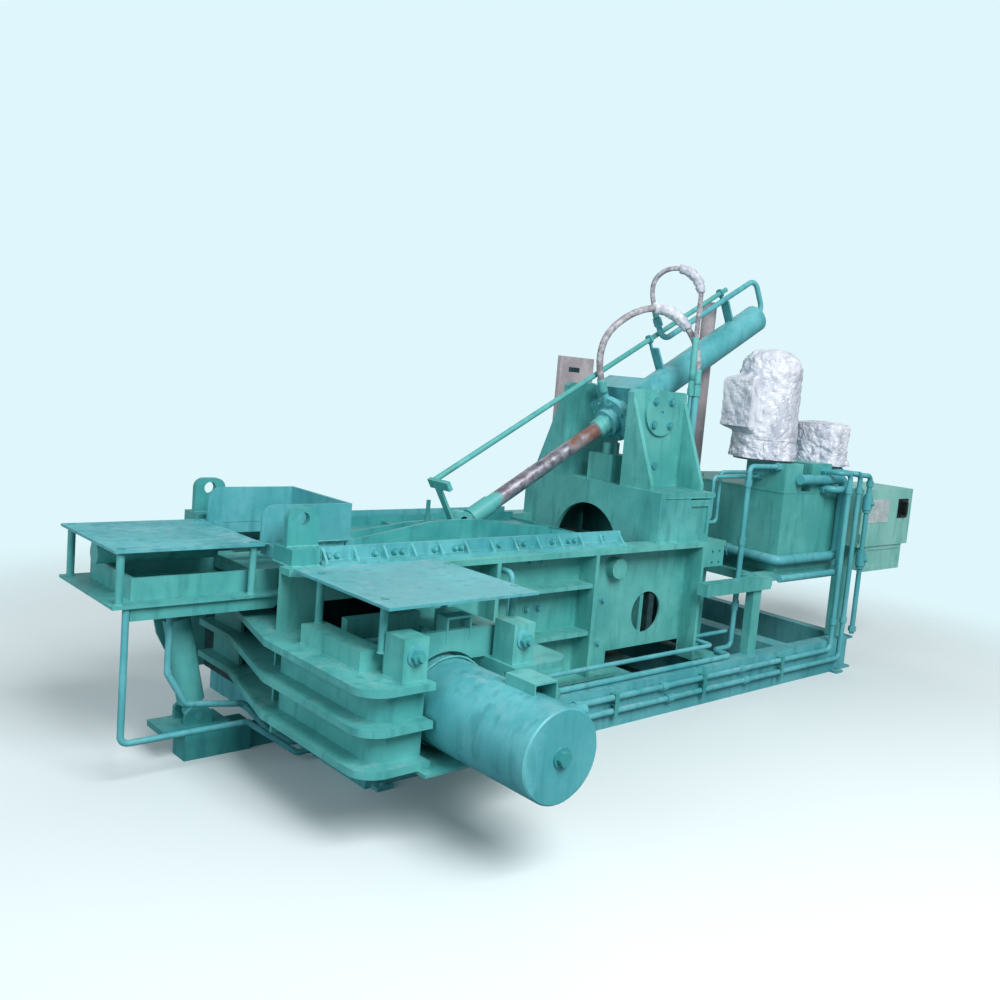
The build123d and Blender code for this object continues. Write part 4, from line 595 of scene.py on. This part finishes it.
def stamped(name, rows, sides, material, body):
    """rows gives place, facing, radius and height for each fitting, all in metres."""
    mesh = bpy.data.meshes.new(name + "_points")
    mesh.from_pydata([row[0] for row in rows], [], [])
    facing = mesh.attributes.new("facing", "FLOAT_VECTOR", "POINT")
    size = mesh.attributes.new("size", "FLOAT_VECTOR", "POINT")
    for i, (_, towards, radius, height) in enumerate(rows):
        facing.data[i].vector = towards
        size.data[i].vector = (radius, radius, height)
    return grown(name, mesh, stamp_tree, {"Sides": sides, "Material": material}, body)


axis_up = Vector((-0.495861, 0.0, 0.868403))
near, far, rise = (0.0, -1.0, 0.0), (0.0, 1.0, 0.0), (0.0, 0.0, 1.0)
gland_face = trunnion - axis_back * 0.128
gland_bolt_circle, cover_bolt_circle = 0.106, 0.088
cover_y, cover_head_y = -0.266, -0.281
clamp_y = -1.175
heads, washers, studs = [], [], []
for k in range(8):
    angle = math.radians(22.5 + 45 * k)
    outward = axis_up * math.cos(angle) + Vector((0.0, math.sin(angle), 0.0))
    spot = gland_face + outward * gland_bolt_circle
    heads.append((tuple(spot), tuple(-axis_back), 0.0125, 0.012))
    studs.append((tuple(spot), tuple(-axis_back), 0.0065, 0.019))
stamped("gland_bolts", heads, 6, enamel_shaded, "lid_cylinder")
stamped("gland_bolt_ends", studs, 12, enamel, "lid_cylinder")

strip_gap = 0.132
first_bay = -0.163
plate_y, head_y = -0.450, -0.460
near_bolt_z, far_bolt_z = 0.852, 0.846
bolts_in_bays = (
    (0, (18, 56)), (1, (87,)), (2, (45, 81)), (3, (105,)), (4, (75, 105)),
    (6, (47,)), (7, (19, 54)), (8, (92,)), (9, (60, 98)), (11, (21,)),
)
studs = []
for bay, bolts in bolts_in_bays:
    for bolt in bolts:
        x = first_bay + bay * strip_gap + bolt / 1000
        washers.append(((x, plate_y, near_bolt_z), near, 0.0155, 0.003))
        studs.append(((x, head_y, near_bolt_z), near, 0.0075, 0.006))
        studs.append(((x, -head_y, far_bolt_z), far, 0.0075, 0.006))
for x, z in ((0.863, 0.766), (0.933, 0.766), (0.863, 0.547), (0.933, 0.547), (1.348, 0.546), (1.342, 0.333)):
    washers.append(((x, plate_y, z), near, 0.019, 0.003))
    studs.append(((x, head_y, z), near, 0.008, 0.007))
for k in range(4):
    angle = math.radians(45 + 90 * k)
    x, z = trunnion.x + cover_bolt_circle * math.cos(angle), trunnion.z + cover_bolt_circle * math.sin(angle)
    washers.append(((x, cover_y, z), near, 0.024, 0.004))
    studs.append(((x, cover_head_y, z), near, 0.010, 0.004))
washers.append(((1.848, -0.250, 1.179), near, 0.024, 0.003))
for x in (-0.227, 0.227):
    washers.append(((x, clamp_y, 0.668), near, 0.034, 0.006))
stamped("washers", washers, 20, enamel_blue, "frame")
stamped("stud_ends", studs, 10, enamel_blue, "frame")

post_r = 0.0135
near_deck_top, left_deck_top = 0.830, 0.873
tops = [((x, y, near_deck_top), rise, post_r, 0.003) for x in (-0.272, 0.272) for y in (-1.045, -0.635)]
tops += [((x, y, left_deck_top), rise, post_r, 0.003) for x in (-0.817, -0.342) for y in (-0.252, 0.252)]
stamped("post_tops", tops, 20, enamel_shaded, "frame")

unions = [
    ((2.136, -0.240, 1.060), rise, 0.029, 0.035), ((2.092, -0.240, 1.380), rise, 0.017, 0.030),
    ((2.092, -0.240, 1.340), rise, 0.014, 0.040), ((2.592, -0.480, 1.190), (-1, 0, 0), 0.021, 0.030),
    ((2.592, -0.520, 1.212), (-1, 0, 0), 0.024, 0.030), ((2.960, -0.570, 1.198), near, 0.026, 0.030),
    ((3.120, -0.510, 1.195), near, 0.026, 0.030), ((3.215, -0.510, 1.185), near, 0.026, 0.030),
    ((2.558, -0.230, 0.695), near, 0.040, 0.035), ((2.964, -0.570, 1.098), near, 0.030, 0.030),
    ((2.592, -0.400, 1.140), (-1, 0, 0), 0.017, 0.026), ((2.592, -0.350, 1.160), (-1, 0, 0), 0.017, 0.026),
    ((2.060, -0.400, 0.905), (1, 0, 0), 0.017, 0.026), ((2.060, -0.350, 0.880), (1, 0, 0), 0.017, 0.026),
    ((0.640, -0.450, 0.760), near, 0.020, 0.026), ((3.285, -0.697, 0.235), rise, 0.024, 0.030),
]
stamped("pipe_unions", unions, 6, enamel_blue, "frame")

rack_x, rack_y = 3.285, -0.697
sleeves = []
for x, y, r in ((2.385, -0.480, 0.011), (2.320, -0.520, 0.014)):
    for z in (0.420, 0.780, 1.100):
        sleeves.append(((x, y, z), rise, r + 0.005, 0.036))
for x, z in ((3.060, 0.300), (3.170, 0.300), (3.060, 1.080), (3.170, 1.080), (rack_x, 1.120)):
    sleeves.append(((x, rack_y, z), rise, 0.021, 0.034))
for x in (0.980, 1.560, 2.180):
    sleeves.append(((x, rack_y, 0.150), (1, 0, 0), 0.0215, 0.040))
    sleeves.append(((x + 0.05, rack_y, 0.084), (1, 0, 0), 0.0215, 0.040))
coupling_height, coupling_r, collar_height = 0.075, 0.030, 0.018
for z in (0.640, 0.980):
    sleeves.append(((rack_x, rack_y, z), rise, coupling_r, coupling_height))
    sleeves.append(((rack_x, rack_y, z - collar_height), rise, 0.024, collar_height))
    sleeves.append(((rack_x, rack_y, z + coupling_height), rise, 0.024, collar_height))
    sleeves.append(((rack_x, rack_y - coupling_r, z + coupling_height / 2), near, 0.010, 0.014))
stamped("pipe_sleeves", sleeves, 18, enamel_blue, "frame")


# Weld beads: one tree turns lines into lumpy beads of metal, painted with the plates. The lines run
# where the plates of each body meet in sight.
weld_tree, given, result = geometry_tree("weld_beads", (
    ("Radius", "NodeSocketFloat", 0.004), ("Step", "NodeSocketFloat", 0.009),
    ("Material", "NodeSocketMaterial", None)))
drawn = add(weld_tree, "GeometryNodeMeshToCurve", {"Mesh": given.outputs["Geometry"]})
walked = add(weld_tree, "GeometryNodeResampleCurve", {"Curve": drawn.outputs["Curve"],
                                                      "Length": given.outputs["Step"]}, mode="LENGTH")
ring = add(weld_tree, "GeometryNodeCurvePrimitiveCircle", {
    "Resolution": 6, "Radius": given.outputs["Radius"]})
bead = add(weld_tree, "GeometryNodeCurveToMesh", {"Curve": walked.outputs["Curve"],
                                                  "Profile Curve": ring.outputs["Curve"], "Fill Caps": True})
spot = add(weld_tree, "GeometryNodeInputPosition")
lumps = add(weld_tree, "ShaderNodeTexNoise", {"Vector": spot.outputs[0], "Scale": 70.0, "Detail": 2.0})
push = add(weld_tree, "ShaderNodeMapRange", {"Value": lumps.outputs["Fac"], "From Min": 0.3, "From Max": 0.7,
                                             "To Min": -0.0018, "To Max": 0.0022})
outward = add(weld_tree, "GeometryNodeInputNormal")
shift = add(weld_tree, "ShaderNodeVectorMath", {
    0: outward.outputs[0], "Scale": push.outputs[0]}, operation="SCALE")
moved = add(weld_tree, "GeometryNodeSetPosition", {
    "Geometry": bead.outputs["Mesh"], "Offset": shift.outputs[0]})
soft = add(weld_tree, "GeometryNodeSetShadeSmooth", {"Geometry": moved.outputs["Geometry"]})
coated = add(weld_tree, "GeometryNodeSetMaterial", {"Geometry": soft.outputs["Geometry"],
                                                    "Material": given.outputs["Material"]})
weld_tree.links.new(coated.outputs["Geometry"], result.inputs["Geometry"])


bead_radius, bead_step = 0.0038, 0.009


def welded(name, lines, body):
    """Lays beads along straight or broken lines, each a list of points in metres."""
    points, edges = [], []
    for line in lines:
        first = len(points)
        points.extend(line)
        edges.extend((first + i, first + i + 1) for i in range(len(line) - 1))
    mesh = bpy.data.meshes.new(name + "_lines")
    mesh.from_pydata(points, edges, [])
    return grown(name, mesh, weld_tree, {"Radius": bead_radius, "Step": bead_step, "Material": enamel}, body)


def circle_line(centre, axis, radius, count=40):
    centre, axis = Vector(centre), Vector(axis).normalized()
    side = axis.orthogonal().normalized()
    other = axis.cross(side)
    return [tuple(centre + side * (radius * math.cos(2 * math.pi * k / count))
                  + other * (radius * math.sin(2 * math.pi * k / count))) for k in range(count + 1)]


wall_y = -0.451
half_rib = 0.010
flange_under, wall_top, strip_foot = 0.794, 0.8205, 0.831
gusset_x, gusset_y, gusset_top, gusset_count = -0.173, -0.493, 0.876, 13
ear_foot, guide_foot = 0.8825, 0.866
tower_y, tower_foot, house_y = -0.251, 1.071, -0.5125
rib_top = 0.5805
near_post_foot, left_post_foot = 0.6505, 0.678
lines = []
for x in (0.600, 1.185, 1.954):
    for edge in (-half_rib, half_rib):
        lines.append([(x + edge, wall_y, 0.200), (x + edge, wall_y, flange_under)])
for z in (0.425, 0.650):
    for edge in (-half_rib, half_rib):
        lines.append([(0.612, wall_y, z + edge), (1.173, wall_y, z + edge)])
lines.append([(-0.180, wall_y, flange_under), (2.130, wall_y, flange_under)])
lines.append([(-0.183, wall_y, strip_foot), (1.431, wall_y, strip_foot)])
lines.append([(-0.320, wall_y, 0.1955), (1.400, wall_y, 0.1955)])
lines.append([(-0.183, -0.496, 0.821), (1.431, -0.496, 0.821)])
for i in range(gusset_count):
    for edge in (0.0, 0.010):
        x = gusset_x + i * strip_gap + edge
        lines.append([(x, gusset_y, strip_foot), (x, wall_y, strip_foot), (x, wall_y, gusset_top)])
for side in (-1, 1):
    y = -0.380 if side < 0 else 0.400
    for face in (y, y + side * 0.030):
        lines.append([(-0.293, face, ear_foot), (-0.165, face, ear_foot)])
    lines.append([(-0.304, side * 0.475, wall_top), (-0.192, side * 0.475, wall_top)])
    lines.append([(-0.304, side * 0.335, wall_top), (-0.304, side * 0.475, wall_top)])
lines += [
    [(1.643, tower_y, tower_foot), (2.060, tower_y, tower_foot)],
    [(1.643, 0.276, tower_foot), (2.060, 0.276, tower_foot)],
    [(1.6425, -0.252, tower_foot), (1.6425, -0.424, tower_foot)],
    [(1.669, -0.252, tower_foot), (1.669, -0.424, tower_foot)],
    [(1.669, tower_y, 1.075), (1.669, tower_y, 1.515)],
    [(2.034, tower_y, 1.075), (2.034, tower_y, 1.515)],
    [(1.658, house_y, 0.821), (1.658, house_y, 1.044)],
    [(1.856, house_y, 0.821), (1.856, house_y, 1.044)],
    [(1.658, house_y, 1.0445), (2.040, house_y, 1.0445)],
    [(1.640, -0.513, wall_top), (2.055, -0.513, wall_top)],
    [(-0.2745, -1.066, rib_top), (-0.1795, -1.066, rib_top)],
    [(-0.2745, clamp_y, rib_top), (-0.1795, clamp_y, rib_top)],
    [(0.1795, clamp_y, rib_top), (0.2745, clamp_y, rib_top)],
    [(-0.2745, clamp_y, rib_top), (-0.2745, -1.066, rib_top)],
    [(-0.330, -1.009, rib_top), (-0.330, -0.621, rib_top)],
    [(0.240, -1.009, rib_top), (0.240, -0.621, rib_top)],
    [(-0.310, -0.2565, guide_foot), (0.057, -0.2565, guide_foot)],
    [(0.0695, -0.244, guide_foot), (0.0695, 0.244, guide_foot)],
]
lines.append(circle_line((1.400, -0.4515, 0.706), (0, 1, 0), 0.0495))
lines.append(circle_line((0.0, -0.7415, 0.445), (0, 1, 0), 0.1545, 60))
lines.append(circle_line((0.0, -1.0635, 0.445), (0, 1, 0), 0.1605, 60))
for x in (-0.272, 0.272):
    for y in (-1.045, -0.635):
        lines.append(circle_line((x, y, near_post_foot), rise, 0.014, 16))
for x, y in ((-0.817, -0.252), (-0.342, -0.252), (-0.817, 0.252), (-0.342, 0.252)):
    lines.append(circle_line((x, y, left_post_foot), rise, 0.014, 16))
for z in (0.291, 0.426, 0.555):
    for x in (-0.1855, 0.1855):
        lines.append([(x, -1.150, z + 0.0005), (x, -0.455, z + 0.0005)])
        if z > 0.3:
            lines.append([(x, -1.150, z + 0.0255), (x, -0.455, z + 0.0255)])
welded("frame_welds", lines, "frame")

barrel_r = 0.0815
lines = [circle_line(trunnion + axis_back * along, axis_back, barrel_r) for along in (-0.0975, 0.0865)]
for along in (0.345, 1.000):
    middle = trunnion + axis_back * along + axis_up * barrel_r
    lines.append([tuple(middle + Vector((0.0, y, 0.0))) for y in (-0.015, 0.045)])
welded("cylinder_welds", lines, "lid_cylinder")
lid_face = 0.7985
welded("lid_welds", [[(0.130, -0.1085, lid_face), (1.470, -0.1085, lid_face)],
                     [(0.640, -0.0665, lid_face), (1.000, -0.0665, lid_face)]], "lid")


# The cabinet's bare name plate and the switch's back plate, both blank, and the slot in the plate
# behind the tower. Each is a thin sheet, and the first two have eased edges.
def plate(bm, low, high, ease=0.0):
    """Adds a box between two corners, its edges eased by so many metres."""
    made = bmesh.ops.create_cube(bm, size=1.0)["verts"]
    low, high = Vector(low), Vector(high)
    for v in made:
        v.co = Vector(((v.co[i] + 0.5) * (high[i] - low[i]) + low[i]) for i in range(3))
    if ease:
        edges = {e for v in made for e in v.link_edges}
        bmesh.ops.bevel(bm, geom=list(edges), offset=ease, segments=2, affect="EDGES")


tin = plain("bare_tin", "#B9C9CC", "#D5E2E3", 20.0, 0.38, 0.05, 0.25)
bm = bmesh.new()
plate(bm, (3.470, -0.6025, 0.875), (3.725, -0.5995, 1.020), 0.0008)
piece("name_plate", bm, tin, "door")
bm = bmesh.new()
plate(bm, (3.838, -0.6045, 0.898), (3.962, -0.5995, 1.022), 0.0015)
piece("switch_plate", bm, black, "door")
# The slot's sheet is dark: painted shade, as the view into the slot lies in shade.
bm = bmesh.new()
plate(bm, (1.816, 0.4385, 1.628), (1.898, 0.4405, 1.654))
piece("plate_slot", bm, painted_shade_dark, "frame")


# Sheets that close the view through the machine, where the photograph shows dark: two behind the ram
# housing, and a floor sheet inside the base frame. Sheet steel, and a guess at what stands there. Their
# dark paint is painted shade.
bm = bmesh.new()
plate(bm, (2.020, -0.425, 0.716), (2.024, 0.425, 1.030))
plate(bm, (2.100, -0.425, 0.205), (2.104, 0.425, 0.487))
piece("housing_back", bm, enamel_shaded, "frame")
bm = bmesh.new()
plate(bm, (0.700, -0.560, 0.002), (3.240, 0.560, 0.007))
piece("base_floor", bm, painted_shade_dark, "frame")
